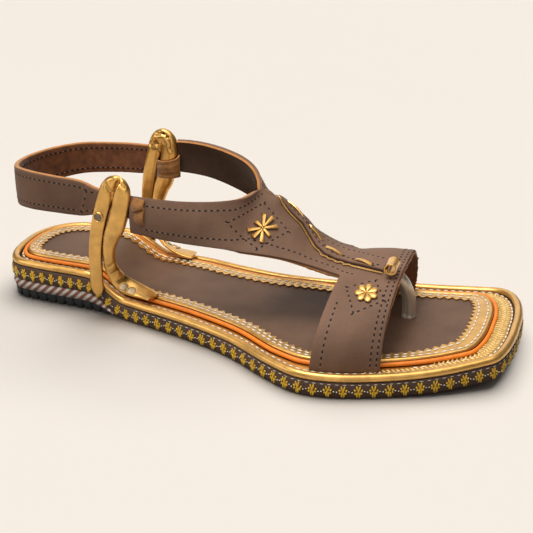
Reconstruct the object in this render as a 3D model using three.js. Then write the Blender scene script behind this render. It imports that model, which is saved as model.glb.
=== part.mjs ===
// A flat, square-toed leather chappal for the right foot: strapped, toe-posted and edged in gold.
// Millimetres. X runs from heel to toe, Y towards the inner (medial) side of the foot, Z up from the floor.
import * as THREE from 'three';

// Driving dimensions of the shoe
const LENGTH = 279;
const BALL_WIDTH = 104;
const INSTEP_HEIGHT = 73;
const HEEL_LIFT = 10.9;
const TOE_SPRING = 6;

// Layers of the sole, from the floor up, and how far each lies in from the edge
const RAND_HEIGHT = 8.5;
const SEAM = 0.3;
const PIPING_WIDE = 4.2;
const PIPING_HIGH = 3.4;
const TOPSOLE_THICK = 1.7;
const TOPSOLE_INSET = 4.6;
const EDGE_CORD_RADIUS = 1.3;
const EDGE_CORD_INSET = 10.7;
const EDGE_CORD_SIDES = 6;
const INSOLE_THICK = 1.6;
const INSOLE_INSET = 12.5;
const BINDING_THICK = 1.3;
const BINDING_WIDE = 7.2;
const TOE_SETBACK = 2.5;

// The heel pad: a striped band over a lugged tread
const HEEL_PAD_END = 68;
const LUG_PITCH = 5.6;
const LUG_DEPTH = 2.3;
const LUG_FLANK = { from: 0.34, to: 0.46 };
const LUG_STEPS = 7;
const DEEPEST_LUG_SHARE = 0.5;

// Where the sole comes down from the heel and where the toe lifts
const DROP_START = 52.8;
const DROP_LENGTH = 25;
const SPRING_START = 212;

// Sections of the edge pieces, as shares of their width in from the edge and of their height
const PIPING_SECTION = [
  [0, 0.26], [0.04, 0.59], [0.21, 0.88], [0.48, 1],
  [0.76, 0.91], [1, 0.65], [1, 0], [0.12, 0],
];
const BINDING_SECTION = [[0, 0.7], [0.3, 1], [1, 0.6], [1, 0], [0, 0]];

// The straps
const STRAP_WALL = 2.6;
const BAND_BACK = 189.8;
const BAND_FRONT = 222;
const BAND_PEAK_Y = 2;
const BAND_INSET = 6.3;
const BAND_SQUARENESS = { lateral: 2.3, medial: 2 };
const BAND_TAPER = 3.5;
const BAND_LEAN = 3;
const THROAT_X = 144;
const LATERAL_STRAP_END = 86;
const MEDIAL_STRAP_END = 83;

// Half outline of the sole: along the length, then out from the axis, as shares of length and ball width
const SOLE = [
  { along: 0, lateral: 0.225, medial: 0.34 },
  { along: 0.09, lateral: 0.243, medial: 0.346 },
  { along: 0.21, lateral: 0.252, medial: 0.345 },
  { along: 0.354, lateral: 0.322, medial: 0.347 },
  { along: 0.43, lateral: 0.371, medial: 0.318 },
  { along: 0.515, lateral: 0.449, medial: 0.298 },
  { along: 0.6, lateral: 0.571, medial: 0.312 },
  { along: 0.66, lateral: 0.636, medial: 0.345 },
  { along: 0.72, lateral: 0.628, medial: 0.39 },
  { along: 0.785, lateral: 0.571, medial: 0.427 },
  { along: 0.89, lateral: 0.445, medial: 0.458 },
  { along: 1, lateral: 0.256, medial: 0.455 },
];
const AXIS_Y = 4;
const HEEL_ROUND = { lateral: 17, medial: 28 };
const TOE_ROUND = { lateral: 8, medial: 21 };
const HEEL_POWER = { lateral: 2.8, medial: 2 };
const TOE_POWER = 2.4;
const ROUND_LOSS = 0.5;
const LEAST_ROUND = 7;

// How much nearer the edge the cord, the insole and its binding run than their own distance in
const INNER_SHIFT = [
  { along: 0, shift: -4 },
  { along: 0.12, shift: -4.2 },
  { along: 0.25, shift: -3.4 },
  { along: 0.36, shift: -2.2 },
  { along: 0.5, shift: -2.2 },
  { along: 0.6, shift: -2.8 },
  { along: 0.65, shift: -1.1 },
  { along: 0.68, shift: 0 },
  { along: 1, shift: 0 },
];

// Strap over the ball of the foot: crown height above the topsole along its width
const BAND_CROWN = [
  { x: 190.5, crown: 33.4 },
  { x: 198, crown: 34.8 },
  { x: 210, crown: 36.2 },
  { x: 222, crown: 36.4 },
];

// Instep piece and its two quarter straps: places of the lower and upper edge out from the middle,
// and their heights as shares of instep height. Ahead of the throat both upper edges share the ridge.
const INSTEP = {
  lateral: [
    { x: 78, lowOut: 33, topOut: 30.5, lowHigh: 0.75, topHigh: 1.005 },
    { x: 90, lowOut: 34, topOut: 31, lowHigh: 0.743, topHigh: 1.007 },
    { x: 102, lowOut: 35, topOut: 31, lowHigh: 0.738, topHigh: 1.01 },
    { x: 115, lowOut: 35.3, topOut: 29.8, lowHigh: 0.735, topHigh: 1.014 },
    { x: 128, lowOut: 34.6, topOut: 26, lowHigh: 0.732, topHigh: 1.018 },
    { x: 137, lowOut: 33, topOut: 19.5, lowHigh: 0.724, topHigh: 1.013 },
    { x: 142, lowOut: 31.6, topOut: 11, lowHigh: 0.717, topHigh: 1.004 },
    { x: 144, lowOut: 31, topOut: -2, lowHigh: 0.713, topHigh: 1 },
    { x: 152, lowOut: 28, topOut: -2, lowHigh: 0.696, topHigh: 0.95 },
    { x: 163, lowOut: 23.6, topOut: -2, lowHigh: 0.664, topHigh: 0.815 },
    { x: 174, lowOut: 20.8, topOut: -2, lowHigh: 0.63, topHigh: 0.676 },
    { x: 183, lowOut: 20.2, topOut: -2, lowHigh: 0.606, topHigh: 0.622 },
    { x: 190.5, lowOut: 21, topOut: -2, lowHigh: 0.592, topHigh: 0.606 },
  ],
  medial: [
    { x: 78, lowOut: 36.2, topOut: 34.6, lowHigh: 0.85, topHigh: 1.105 },
    { x: 90, lowOut: 36.5, topOut: 34, lowHigh: 0.851, topHigh: 1.12 },
    { x: 102, lowOut: 36.5, topOut: 32.2, lowHigh: 0.84, topHigh: 1.123 },
    { x: 115, lowOut: 35.6, topOut: 28, lowHigh: 0.804, topHigh: 1.117 },
    { x: 128, lowOut: 33.2, topOut: 20.2, lowHigh: 0.76, topHigh: 1.11 },
    { x: 137, lowOut: 31, topOut: 12.6, lowHigh: 0.735, topHigh: 1.085 },
    { x: 142, lowOut: 29.6, topOut: 6.4, lowHigh: 0.722, topHigh: 1.038 },
    { x: 144, lowOut: 29, topOut: 2, lowHigh: 0.716, topHigh: 1 },
    { x: 152, lowOut: 27, topOut: 2, lowHigh: 0.694, topHigh: 0.95 },
    { x: 163, lowOut: 22.6, topOut: 2, lowHigh: 0.653, topHigh: 0.815 },
    { x: 174, lowOut: 19, topOut: 2, lowHigh: 0.606, topHigh: 0.676 },
    { x: 183, lowOut: 17, topOut: 2, lowHigh: 0.577, topHigh: 0.622 },
    { x: 190.5, lowOut: 17.6, topOut: 2, lowHigh: 0.562, topHigh: 0.606 },
  ],
};
const STRAP_BULGE = 1.6;
const BULGE_FULL_AT = 12;

// Heel strap, seen from above along its middle line, with its height at each place
const HEEL_STRAP = [
  { x: 72, y: -27, middle: 66, tall: 12 },
  { x: 64, y: -27.05, middle: 66.4, tall: 15 },
  { x: 55, y: -27.3, middle: 66.8, tall: 19.5 },
  { x: 40, y: -27.2, middle: 66.8, tall: 20.5 },
  { x: 24, y: -25, middle: 66.4, tall: 21.5 },
  { x: 10.5, y: -14, middle: 63.4, tall: 22 },
  { x: 5.5, y: 3, middle: 61.8, tall: 21 },
  { x: 11, y: 20, middle: 62.4, tall: 19.5 },
  { x: 24, y: 32, middle: 63.8, tall: 18.4 },
  { x: 42, y: 37.4, middle: 64.6, tall: 17.8 },
  { x: 56, y: 39.3, middle: 65, tall: 17.6 },
  { x: 70, y: 39.5, middle: 65.4, tall: 16.6 },
];

// Padded gold loop that carries both straps: up the rear leg from its tongue, over, and down to its foot.
// lateral and medial are measured out from the axis, turn lays the strip flat, in degrees.
const LOOP = [
  { x: 62.2, lateral: 28.4, medial: 37.3, z: 12.6, wide: 4.6, thick: 2, turn: 0 },
  { x: 61.9, lateral: 28.6, medial: 37.3, z: 17, wide: 7.6, thick: 2.4, turn: 0 },
  { x: 62.3, lateral: 29.3, medial: 37, z: 25, wide: 7.6, thick: 2.8, turn: 0 },
  { x: 63.7, lateral: 30.6, medial: 36.2, z: 40, wide: 7.5, thick: 4, turn: 0 },
  { x: 67.2, lateral: 31.2, medial: 35.4, z: 56, wide: 7.7, thick: 4.8, turn: 0 },
  { x: 70.9, lateral: 31.2, medial: 35.4, z: 68, wide: 8.2, thick: 5, turn: 0 },
  { x: 74.4, lateral: 31.2, medial: 35.4, z: 76.4, wide: 8.6, thick: 5.4, turn: 0 },
  { x: 78.7, lateral: 31.2, medial: 35.4, z: 79, wide: 8.6, thick: 5.6, turn: 0 },
  { x: 81.3, lateral: 31.2, medial: 35.4, z: 75.4, wide: 8.6, thick: 5.6, turn: 0 },
  { x: 80.5, lateral: 31.2, medial: 35.4, z: 67.6, wide: 9.2, thick: 5.4, turn: 0 },
  { x: 77, lateral: 31, medial: 35.4, z: 56, wide: 9.2, thick: 5.2, turn: 0 },
  { x: 73.9, lateral: 30.5, medial: 35, z: 49.6, wide: 8, thick: 5, turn: 0 },
  { x: 71.3, lateral: 29.6, medial: 34.4, z: 42, wide: 6.8, thick: 4.8, turn: 0 },
  { x: 70, lateral: 27.8, medial: 32.8, z: 33, wide: 6.2, thick: 4.6, turn: 15 },
  { x: 70.6, lateral: 25.8, medial: 31, z: 26.4, wide: 7.2, thick: 4, turn: 38 },
  { x: 73.6, lateral: 24.4, medial: 29.8, z: 20.6, wide: 8.6, thick: 3, turn: 54 },
  { x: 78.5, lateral: 23.6, medial: 28.8, z: 17.5, wide: 10, thick: 2.4, turn: 66 },
  { x: 86.5, lateral: 23.6, medial: 28.5, z: 15.7, wide: 10, thick: 2, turn: 80 },
  { x: 95.5, lateral: 25.8, medial: 28.8, z: 14.9, wide: 9, thick: 1.8, turn: 90 },
];
const MEDIAL_LOOP_LEAN = 0.06;
const MEDIAL_LOOP_STRETCH = 1.035;

// Toe post between the first two toes, from the insole up to the underside of the strap
const TOE_POST = [
  { x: 223, y: 4, z: 13, radius: 4.1 },
  { x: 222.9, y: 4, z: 14.6, radius: 3.5 },
  { x: 222.4, y: 3.6, z: 23, radius: 3.3 },
  { x: 220, y: 2, z: 31, radius: 3.3 },
  { x: 215.5, y: 0, z: 37.4, radius: 3.2 },
  { x: 210.5, y: -1, z: 41.2, radius: 2.9 },
];

// Strip laid along the instep from the throat to the front of the ball strap
const OVERLAY = [
  { x: 152.5, y: 1, half: 7.4 },
  { x: 163, y: 1.4, half: 7.2 },
  { x: 174, y: 0, half: 6.8 },
  { x: 183, y: -2.8, half: 7.2 },
  { x: 192, y: -5, half: 7.3 },
  { x: 202, y: -8.6, half: 7 },
  { x: 213, y: -12.6, half: 6.3 },
];
const OVERLAY_THICK = 1.3;
const TRIM_GAP = 0.6;
const OVERLAY_STEPS = { between: 3, across: 4 };
const BEAD = { x: 217.4, y: -18.2, radius: 3.5, bore: 1.9, long: 9, sides: 14 };

// Suede keeper beside the medial loop's front leg, inside the shoe, and the folded tab on the lateral side
const KEEPER = [
  { x: 70, y: 31.7, middle: 64.2, tall: 7.5 },
  { x: 76, y: 31.6, middle: 63.6, tall: 8 },
  { x: 84, y: 31.2, middle: 62.8, tall: 8 },
];
const KEEPER_WALL = 1.6;
const KEEPER_STEPS = 2;
const TAB = { from: 86, to: 92, low: 0.12, high: 0.9, thick: 2.2 };
const TAB_STEPS = { along: 2, across: 4 };

// Small metal trim
const LEG_RIVET = { z: 61.9, radius: 2 };
const FOOT_RIVETS = [{ x: 75.8, out: 2.4, radius: 1.9 }, { x: 80.4, out: 2.6, radius: 1.9 }];
const RIVET_RISE = 0.8;
const RIVET_SIDES = 10;
const RIVET_DOME = [
  { out: 0, up: 0 },
  { out: 1, up: 0 },
  { out: 1, up: 0.4 },
  { out: 0.6, up: 0.9 },
  { out: 0, up: 1 },
];
const STAR = { x: 150, rise: 0.4, reach: 7.6, waist: 1.6, points: 8, thick: 1.1 };
const FLOWER = { x: 207.5, reach: 5.8, waist: 2.4, points: 7, thick: 1.2, lateral: 0.35, medial: 0.83 };
const ORNAMENT_GAP = 0.7;

// Materials: colour, roughness, metalness
function finish(color, roughness, metalness = 0) {
  return new THREE.MeshStandardMaterial({ color, roughness, metalness });
}
const BROWN_LEATHER = finish('#6f5a4e', 0.6);
const SUEDE = finish('#7a4a28', 0.95);
const GOLD_LEATHER = finish('#d9a23c', 0.35, 0.6);
const ORANGE_CORD = finish('#f08020', 0.6);
const STRIPED_BAND = finish('#b19588', 0.7);
const RUBBER = finish('#2b2e30', 0.85);
const PEWTER = finish('#a89c8c', 0.35, 0.7);
const DULL_METAL = finish('#7e7060', 0.4, 0.8);

const shoe = new THREE.Group();

function addPart(name, geometry, material) {
  const mesh = new THREE.Mesh(geometry, material);
  mesh.name = name;
  shoe.add(mesh);
}

// Smooth reading of one column of a table at a place along its key column
function lookup(table, key, column, at) {
  const last = table.length - 1;
  const place = THREE.MathUtils.clamp(at, table[0][key], table[last][key]);
  let i = 0;
  while (i < last - 1 && place > table[i + 1][key]) i += 1;
  const slope = (j) => {
    const before = table[Math.max(j - 1, 0)];
    const after = table[Math.min(j + 1, last)];
    return (after[column] - before[column]) / (after[key] - before[key]);
  };
  const a = table[i];
  const b = table[i + 1];
  const span = b[key] - a[key];
  const t = (place - a[key]) / span;
  const rise = 3 * t * t - 2 * t * t * t;
  const easeOut = t * (1 - t) * (1 - t) * span;
  const easeIn = t * t * (t - 1) * span;
  return a[column] + (b[column] - a[column]) * rise + slope(i) * easeOut + slope(i + 1) * easeIn;
}

// Underside of the rand above the floor: heel lift, a quick drop, and the toe's spring
function soleBase(x) {
  const drop = THREE.MathUtils.smoothstep(x, DROP_START, DROP_START + DROP_LENGTH);
  const toe = Math.max(x - SPRING_START, 0) / (LENGTH - SPRING_START);
  return HEEL_LIFT * (1 - drop) + TOE_SPRING * toe * toe;
}

const topsoleTop = (x) => soleBase(x) + RAND_HEIGHT + SEAM + TOPSOLE_THICK;

// How far from the heel and toe ends an outline that lies in from the edge begins and stops
function endsOf(distance, inner) {
  if (!inner) return { heel: distance, toe: LENGTH - distance };
  return { heel: distance + INNER_SHIFT[0].shift, toe: LENGTH - distance - TOE_SETBACK };
}

// Y of one side of the outline at x, a given distance in from the edge, with rounded heel and toe corners
function sideY(side, x, distance, inner = false) {
  const sign = side === 'lateral' ? -1 : 1;
  const ends = endsOf(distance, inner);
  const inset = distance + (inner ? lookup(INNER_SHIFT, 'along', 'shift', x / LENGTH) : 0);
  const step = 0.5;
  const slope = (at) => {
    const ahead = lookup(SOLE, 'along', side, (at + step) / LENGTH);
    const behind = lookup(SOLE, 'along', side, (at - step) / LENGTH);
    return (ahead - behind) * BALL_WIDTH / (2 * step);
  };
  const edge = lookup(SOLE, 'along', side, x / LENGTH) * BALL_WIDTH;
  const reach = edge - inset * Math.hypot(1, slope(x)) - sign * AXIS_Y;
  const heelRound = Math.max(HEEL_ROUND[side] - inset * ROUND_LOSS, LEAST_ROUND);
  const toeRound = Math.max(TOE_ROUND[side] - inset * ROUND_LOSS, LEAST_ROUND);
  const heelShare = Math.max(heelRound - (x - ends.heel), 0) / heelRound;
  const toeShare = Math.max(toeRound - (ends.toe - x), 0) / toeRound;
  const heelFactor = (1 - heelShare ** HEEL_POWER[side]) ** (1 / HEEL_POWER[side]);
  const toeFactor = (1 - toeShare ** TOE_POWER) ** (1 / TOE_POWER);
  return AXIS_Y + sign * reach * heelFactor * toeFactor;
}

// Places along an outline: the same in the middle for every layer, so that they lie evenly on each other
const HEEL_MIDDLE = 34;
const TOE_MIDDLE = 240;
const HEEL_STEPS = 8;
const TOE_STEPS = 10;
const END_TRIM = 0.12;
function middlePlaces() {
  const places = [];
  const dropEnd = DROP_START + DROP_LENGTH;
  const stretches = [
    { from: HEEL_MIDDLE, to: DROP_START, steps: 3 },
    { from: DROP_START, to: dropEnd, steps: 8 },
    { from: dropEnd, to: TOE_MIDDLE, steps: 16 },
  ];
  for (const { from, to, steps } of stretches) {
    for (let i = 0; i < steps; i += 1) places.push(THREE.MathUtils.lerp(from, to, i / steps));
  }
  return places;
}
function stations(inset, inner) {
  const ends = endsOf(inset, inner);
  const places = [];
  for (let i = 0; i < HEEL_STEPS; i += 1) {
    const share = Math.cos(Math.PI / 2 * i / HEEL_STEPS);
    places.push(HEEL_MIDDLE - (HEEL_MIDDLE - ends.heel - END_TRIM) * share);
  }
  places.push(...middlePlaces());
  for (let i = 0; i <= TOE_STEPS; i += 1) {
    const share = Math.sin(Math.PI / 2 * i / TOE_STEPS);
    places.push(TOE_MIDDLE + (ends.toe - END_TRIM - TOE_MIDDLE) * share);
  }
  return places;
}

// Closed solid through rings of points, either looped back on itself or capped at both ends
function skin(rings, looped = false) {
  const sides = rings[0].length;
  const positions = rings.flat().flatMap((p) => [p.x, p.y, p.z]);
  const index = [];
  const joins = looped ? rings.length : rings.length - 1;
  for (let i = 0; i < joins; i += 1) {
    const near = i * sides;
    const far = ((i + 1) % rings.length) * sides;
    for (let j = 0; j < sides; j += 1) {
      const next = (j + 1) % sides;
      index.push(near + j, far + next, near + next, near + j, far + j, far + next);
    }
  }
  if (!looped) {
    const end = (rings.length - 1) * sides;
    for (let j = 1; j < sides - 1; j += 1) {
      index.push(0, j, j + 1);
      index.push(end, end + j + 1, end + j);
    }
  }
  const geometry = new THREE.BufferGeometry();
  geometry.setAttribute('position', new THREE.Float32BufferAttribute(positions, 3));
  geometry.setIndex(index);
  return geometry;
}

// Flat layer of the sole between two heights that follow the length
function layer(inset, inner, places, bottom, top) {
  const rings = places.map((x) => {
    const lateral = sideY('lateral', x, inset, inner);
    const medial = sideY('medial', x, inset, inner);
    return [
      new THREE.Vector3(x, lateral, bottom(x)),
      new THREE.Vector3(x, lateral, top(x)),
      new THREE.Vector3(x, medial, top(x)),
      new THREE.Vector3(x, medial, bottom(x)),
    ];
  });
  return skin(rings);
}

// Points round an outline, from the heel along the lateral side and back along the medial side
function loopPoints(inset, inner) {
  const places = stations(inset, inner);
  const there = places.map((x) => new THREE.Vector2(x, sideY('lateral', x, inset, inner)));
  const back = places.map((x) => new THREE.Vector2(x, sideY('medial', x, inset, inner))).reverse();
  return [...there, ...back];
}

// Ring that follows an outline; section gives points as distance in from the path and height
function edgeRing(inset, inner, section, heightAt) {
  const path = loopPoints(inset, inner);
  const rings = path.map((point, i) => {
    const before = path[(i + path.length - 1) % path.length];
    const after = path[(i + 1) % path.length];
    const along = after.clone().sub(before).normalize();
    const inward = new THREE.Vector2(-along.y, along.x);
    return section.map(([across, up]) => new THREE.Vector3(
      point.x + inward.x * across,
      point.y + inward.y * across,
      heightAt(point.x) + up,
    ));
  });
  return skin(rings, true);
}

function circleSection(radius, sides) {
  const points = [];
  for (let i = 0; i < sides; i += 1) {
    const angle = -2 * Math.PI * i / sides;
    points.push([radius * Math.cos(angle), radius * Math.sin(angle)]);
  }
  return points;
}

// Sole: rand, topsole, insole and what edges them
function buildSole() {
  const wholeEdge = stations(0, false);
  const randTop = (x) => soleBase(x) + RAND_HEIGHT;
  addPart('outsole', layer(0, false, wholeEdge, soleBase, randTop), BROWN_LEATHER);

  const topsoleEdge = stations(TOPSOLE_INSET, false);
  const topsoleFoot = (x) => randTop(x) + SEAM;
  addPart('topsole', layer(TOPSOLE_INSET, false, topsoleEdge, topsoleFoot, topsoleTop), GOLD_LEATHER);

  const insoleEdge = stations(INSOLE_INSET, true);
  const insoleFoot = (x) => topsoleTop(x) + SEAM;
  const insoleTop = (x) => insoleFoot(x) + INSOLE_THICK;
  addPart('insole', layer(INSOLE_INSET, true, insoleEdge, insoleFoot, insoleTop), BROWN_LEATHER);

  const pipingSection = PIPING_SECTION.map(([across, up]) => [PIPING_WIDE * across, PIPING_HIGH * up]);
  addPart('edge_piping', edgeRing(0, false, pipingSection, topsoleFoot), GOLD_LEATHER);

  const cordHeight = (x) => insoleFoot(x) + EDGE_CORD_RADIUS;
  const cordSection = circleSection(EDGE_CORD_RADIUS, EDGE_CORD_SIDES);
  const cordRing = edgeRing(EDGE_CORD_INSET, true, cordSection, cordHeight);
  addPart('edge_cord', cordRing, ORANGE_CORD);

  const bindingHeight = (x) => insoleTop(x) + SEAM;
  const bindingSection = BINDING_SECTION.map(([across, up]) => [BINDING_WIDE * across, BINDING_THICK * up]);
  const bindingRing = edgeRing(INSOLE_INSET, true, bindingSection, bindingHeight);
  addPart('insole_binding', bindingRing, GOLD_LEATHER);
}

// Heel pad: the lift is shared by a lugged rubber tread and a striped band over it
const TREAD_SHARE = 0.5;
const TREAD_INSET = 1;
const BAND_PAD_INSET = 0.4;
function buildHeelPad() {
  const parting = (x) => soleBase(x) * TREAD_SHARE;
  const lugBottom = (x) => {
    const phase = (x / LUG_PITCH) % 1;
    const gap = THREE.MathUtils.smoothstep(Math.abs(phase - 0.5), LUG_FLANK.from, LUG_FLANK.to);
    return Math.min(gap * LUG_DEPTH, parting(x) * DEEPEST_LUG_SHARE);
  };
  const lugPlaces = [];
  const lugStep = LUG_PITCH / LUG_STEPS;
  for (let x = TREAD_INSET + SEAM; x < HEEL_PAD_END; x += lugStep) lugPlaces.push(x);
  const treadTop = (x) => parting(x) - SEAM / 2;
  addPart('heel_tread', layer(TREAD_INSET, false, lugPlaces, lugBottom, treadTop), RUBBER);

  const padPlaces = stations(BAND_PAD_INSET, false).filter((x) => x < HEEL_PAD_END);
  const bandFoot = (x) => parting(x) + SEAM / 2;
  const bandTop = (x) => soleBase(x) - SEAM;
  addPart('heel_band', layer(BAND_PAD_INSET, false, padPlaces, bandFoot, bandTop), STRIPED_BAND);
}

// Closed wall from a surface of quads: the surface, its copy moved inwards, and a rim round every open edge
function thicken(points, quads, outward, inward) {
  const normals = points.map(() => new THREE.Vector3());
  for (const [a, b, c, d] of quads) {
    const across = points[c].clone().sub(points[a]);
    const over = points[d].clone().sub(points[b]);
    const normal = across.cross(over);
    for (const corner of [a, b, c, d]) normals[corner].add(normal);
  }
  for (const normal of normals) normal.normalize();
  const moved = (distance) => points.map((p, i) => p.clone().addScaledVector(normals[i], distance));
  const all = [...moved(outward), ...moved(-inward)].flatMap((p) => [p.x, p.y, p.z]);
  const shift = points.length;
  const index = [];
  const edges = new Map();
  for (const [a, b, c, d] of quads) {
    index.push(a, b, c, a, c, d);
    index.push(shift + a, shift + c, shift + b, shift + a, shift + d, shift + c);
    for (const [from, to] of [[a, b], [b, c], [c, d], [d, a]]) {
      if (!edges.delete(`${to},${from}`)) edges.set(`${from},${to}`, [from, to]);
    }
  }
  for (const [from, to] of edges.values()) {
    index.push(from, shift + from, shift + to, from, shift + to, to);
  }
  const geometry = new THREE.BufferGeometry();
  geometry.setAttribute('position', new THREE.Float32BufferAttribute(all, 3));
  geometry.setIndex(index);
  return geometry;
}

// Point of the ball strap: round is 0 at the lateral foot, 1 at the medial foot
const CROWN_ROUND = 0.56;
function bandPoint(x, round) {
  const side = round < CROWN_ROUND ? 'lateral' : 'medial';
  const share = side === 'lateral' ? round / CROWN_ROUND : (1 - round) / (1 - CROWN_ROUND);
  const angle = share * Math.PI / 2;
  const width = (x - BAND_BACK) / (BAND_FRONT - BAND_BACK);
  const taper = BAND_TAPER * width * Math.max(round - CROWN_ROUND, 0) / (1 - CROWN_ROUND);
  const lean = BAND_LEAN * (1 - width) * Math.sin(angle);
  const place = x - taper + lean;
  const foot = sideY(side, place, BAND_INSET);
  const base = topsoleTop(place) + SEAM;
  const crown = lookup(BAND_CROWN, 'x', 'crown', x);
  const power = 2 / BAND_SQUARENESS[side];
  return new THREE.Vector3(
    place,
    BAND_PEAK_Y + (foot - BAND_PEAK_Y) * Math.cos(angle) ** power,
    base + crown * Math.sin(angle) ** power,
  );
}

// Point of the instep piece or a quarter strap: rise is 0 on its lower edge and 1 on its upper edge
function instepPoint(side, x, rise) {
  const read = (column) => lookup(INSTEP[side], 'x', column, x);
  const sign = side === 'lateral' ? -1 : 1;
  const lowY = sign * read('lowOut');
  const topY = sign * read('topOut');
  const lowZ = read('lowHigh') * INSTEP_HEIGHT;
  const topZ = read('topHigh') * INSTEP_HEIGHT;
  const fullness = Math.min(1, Math.abs(topZ - lowZ) / BULGE_FULL_AT);
  const bulge = STRAP_BULGE * Math.sin(Math.PI * rise) * fullness;
  const lean = new THREE.Vector2(topY - lowY, topZ - lowZ).normalize();
  return new THREE.Vector3(
    x,
    lowY + (topY - lowY) * rise + sign * lean.y * bulge,
    lowZ + (topZ - lowZ) * rise + Math.abs(lean.x) * bulge,
  );
}

// Upper: the ball strap, the instep piece behind it and the two quarter straps, in one wall
const BAND_STEPS = 5;
const FOOT_STEPS = 10;
const INSTEP_RISE_STEPS = 5;
function buildUpper() {
  const points = [];
  const quads = [];
  const add = (point) => points.push(point) - 1;
  const around = [];
  const lateralCorner = roundAt(-lookup(INSTEP.lateral, 'x', 'lowOut', BAND_BACK));
  const medialCorner = roundAt(lookup(INSTEP.medial, 'x', 'lowOut', BAND_BACK));
  const stretches = [
    { from: 0, to: lateralCorner, steps: FOOT_STEPS },
    { from: lateralCorner, to: CROWN_ROUND, steps: INSTEP_RISE_STEPS },
    { from: CROWN_ROUND, to: medialCorner, steps: INSTEP_RISE_STEPS },
    { from: medialCorner, to: 1, steps: FOOT_STEPS },
  ];
  for (const { from, to, steps } of stretches) {
    for (let i = 0; i < steps; i += 1) around.push(THREE.MathUtils.lerp(from, to, i / steps));
  }
  around.push(1);
  const band = [];
  for (let i = 0; i <= BAND_STEPS; i += 1) {
    const x = THREE.MathUtils.lerp(BAND_BACK, BAND_FRONT, i / BAND_STEPS);
    band.push(around.map((round) => add(bandPoint(x, round))));
  }
  weave(band, quads);

  const ridgeStart = FOOT_STEPS + INSTEP_RISE_STEPS;
  const backEdge = band[0];
  const ridgeOf = new Map();
  for (const side of ['lateral', 'medial']) {
    const end = side === 'lateral' ? LATERAL_STRAP_END : MEDIAL_STRAP_END;
    const direction = side === 'lateral' ? -1 : 1;
    const columns = [];
    for (const x of instepPlaces(end)) {
      const column = [];
      for (let j = 0; j <= INSTEP_RISE_STEPS; j += 1) {
        const rise = j / INSTEP_RISE_STEPS;
        const shared = j === INSTEP_RISE_STEPS && x >= THROAT_X;
        if (shared && ridgeOf.has(x)) {
          column.push(ridgeOf.get(x));
          continue;
        }
        const vertex = add(instepPoint(side, x, rise));
        if (shared) ridgeOf.set(x, vertex);
        column.push(vertex);
      }
      columns.push(side === 'lateral' ? column : column.reverse());
    }
    const seam = [];
    for (let j = 0; j <= INSTEP_RISE_STEPS; j += 1) {
      seam.push(backEdge[ridgeStart + direction * (INSTEP_RISE_STEPS - j)]);
    }
    columns.push(side === 'lateral' ? seam : seam.reverse());
    weave(columns, quads);
  }
  addPart('upper', thicken(points, quads, 0, STRAP_WALL), BROWN_LEATHER);
}

// Search steps, each halving the span, used to find a place on the upper
const HALVINGS = 30;

// Share round the ball strap's back edge at which it reaches a place across the foot
function roundAt(y) {
  let low = y < BAND_PEAK_Y ? 0 : CROWN_ROUND;
  let high = y < BAND_PEAK_Y ? CROWN_ROUND : 1;
  for (let i = 0; i < HALVINGS; i += 1) {
    const middle = (low + high) / 2;
    if (bandPoint(BAND_BACK, middle).y < y) low = middle;
    else high = middle;
  }
  return (low + high) / 2;
}

// Quads between neighbouring columns of points
function weave(columns, quads) {
  for (let i = 0; i < columns.length - 1; i += 1) {
    for (let j = 0; j < columns[i].length - 1; j += 1) {
      quads.push([columns[i][j], columns[i + 1][j], columns[i + 1][j + 1], columns[i][j + 1]]);
    }
  }
}

// Places along a quarter strap and the instep, closer together round the throat
const QUARTER_PLACES = [94, 104, 114, 124, 131, 137, 140.5, 143];
const RIDGE_PLACES = [THROAT_X, 148, 153, 159, 165, 171, 177, 184];
function instepPlaces(end) {
  return [end, ...QUARTER_PLACES, ...RIDGE_PLACES];
}

// Rows of a table with smooth rows put in between
function smoothRows(table, steps) {
  const numbered = table.map((row, order) => ({ ...row, order }));
  const columns = Object.keys(table[0]);
  const rows = [];
  for (let i = 0; i <= (table.length - 1) * steps; i += 1) {
    const values = columns.map((column) => [column, lookup(numbered, 'order', column, i / steps)]);
    rows.push(Object.fromEntries(values));
  }
  return rows;
}

// Direction along a line of points at one of them
function heading(points, i) {
  const before = points[Math.max(i - 1, 0)];
  const after = points[Math.min(i + 1, points.length - 1)];
  return after.clone().sub(before).normalize();
}

// Upright strap along a table of places, with its corners taken off
const RIBBON_CORNER = 0.3;
function ribbon(table, wall, steps) {
  const rows = smoothRows(table, steps);
  const line = rows.map((row) => new THREE.Vector3(row.x, row.y, 0));
  const corner = wall * RIBBON_CORNER;
  const rings = rows.map((row, i) => {
    const along = heading(line, i);
    const out = new THREE.Vector3(along.y, -along.x, 0);
    const half = row.tall / 2;
    const section = [[-wall / 2, corner - half], [corner - wall / 2, -half], [wall / 2 - corner, -half],
      [wall / 2, corner - half], [wall / 2, half - corner], [wall / 2 - corner, half],
      [corner - wall / 2, half], [-wall / 2, half - corner]];
    return section.map(([across, up]) => line[i].clone()
      .addScaledVector(out, across)
      .setZ(row.middle + up));
  });
  return skin(rings);
}

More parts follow.
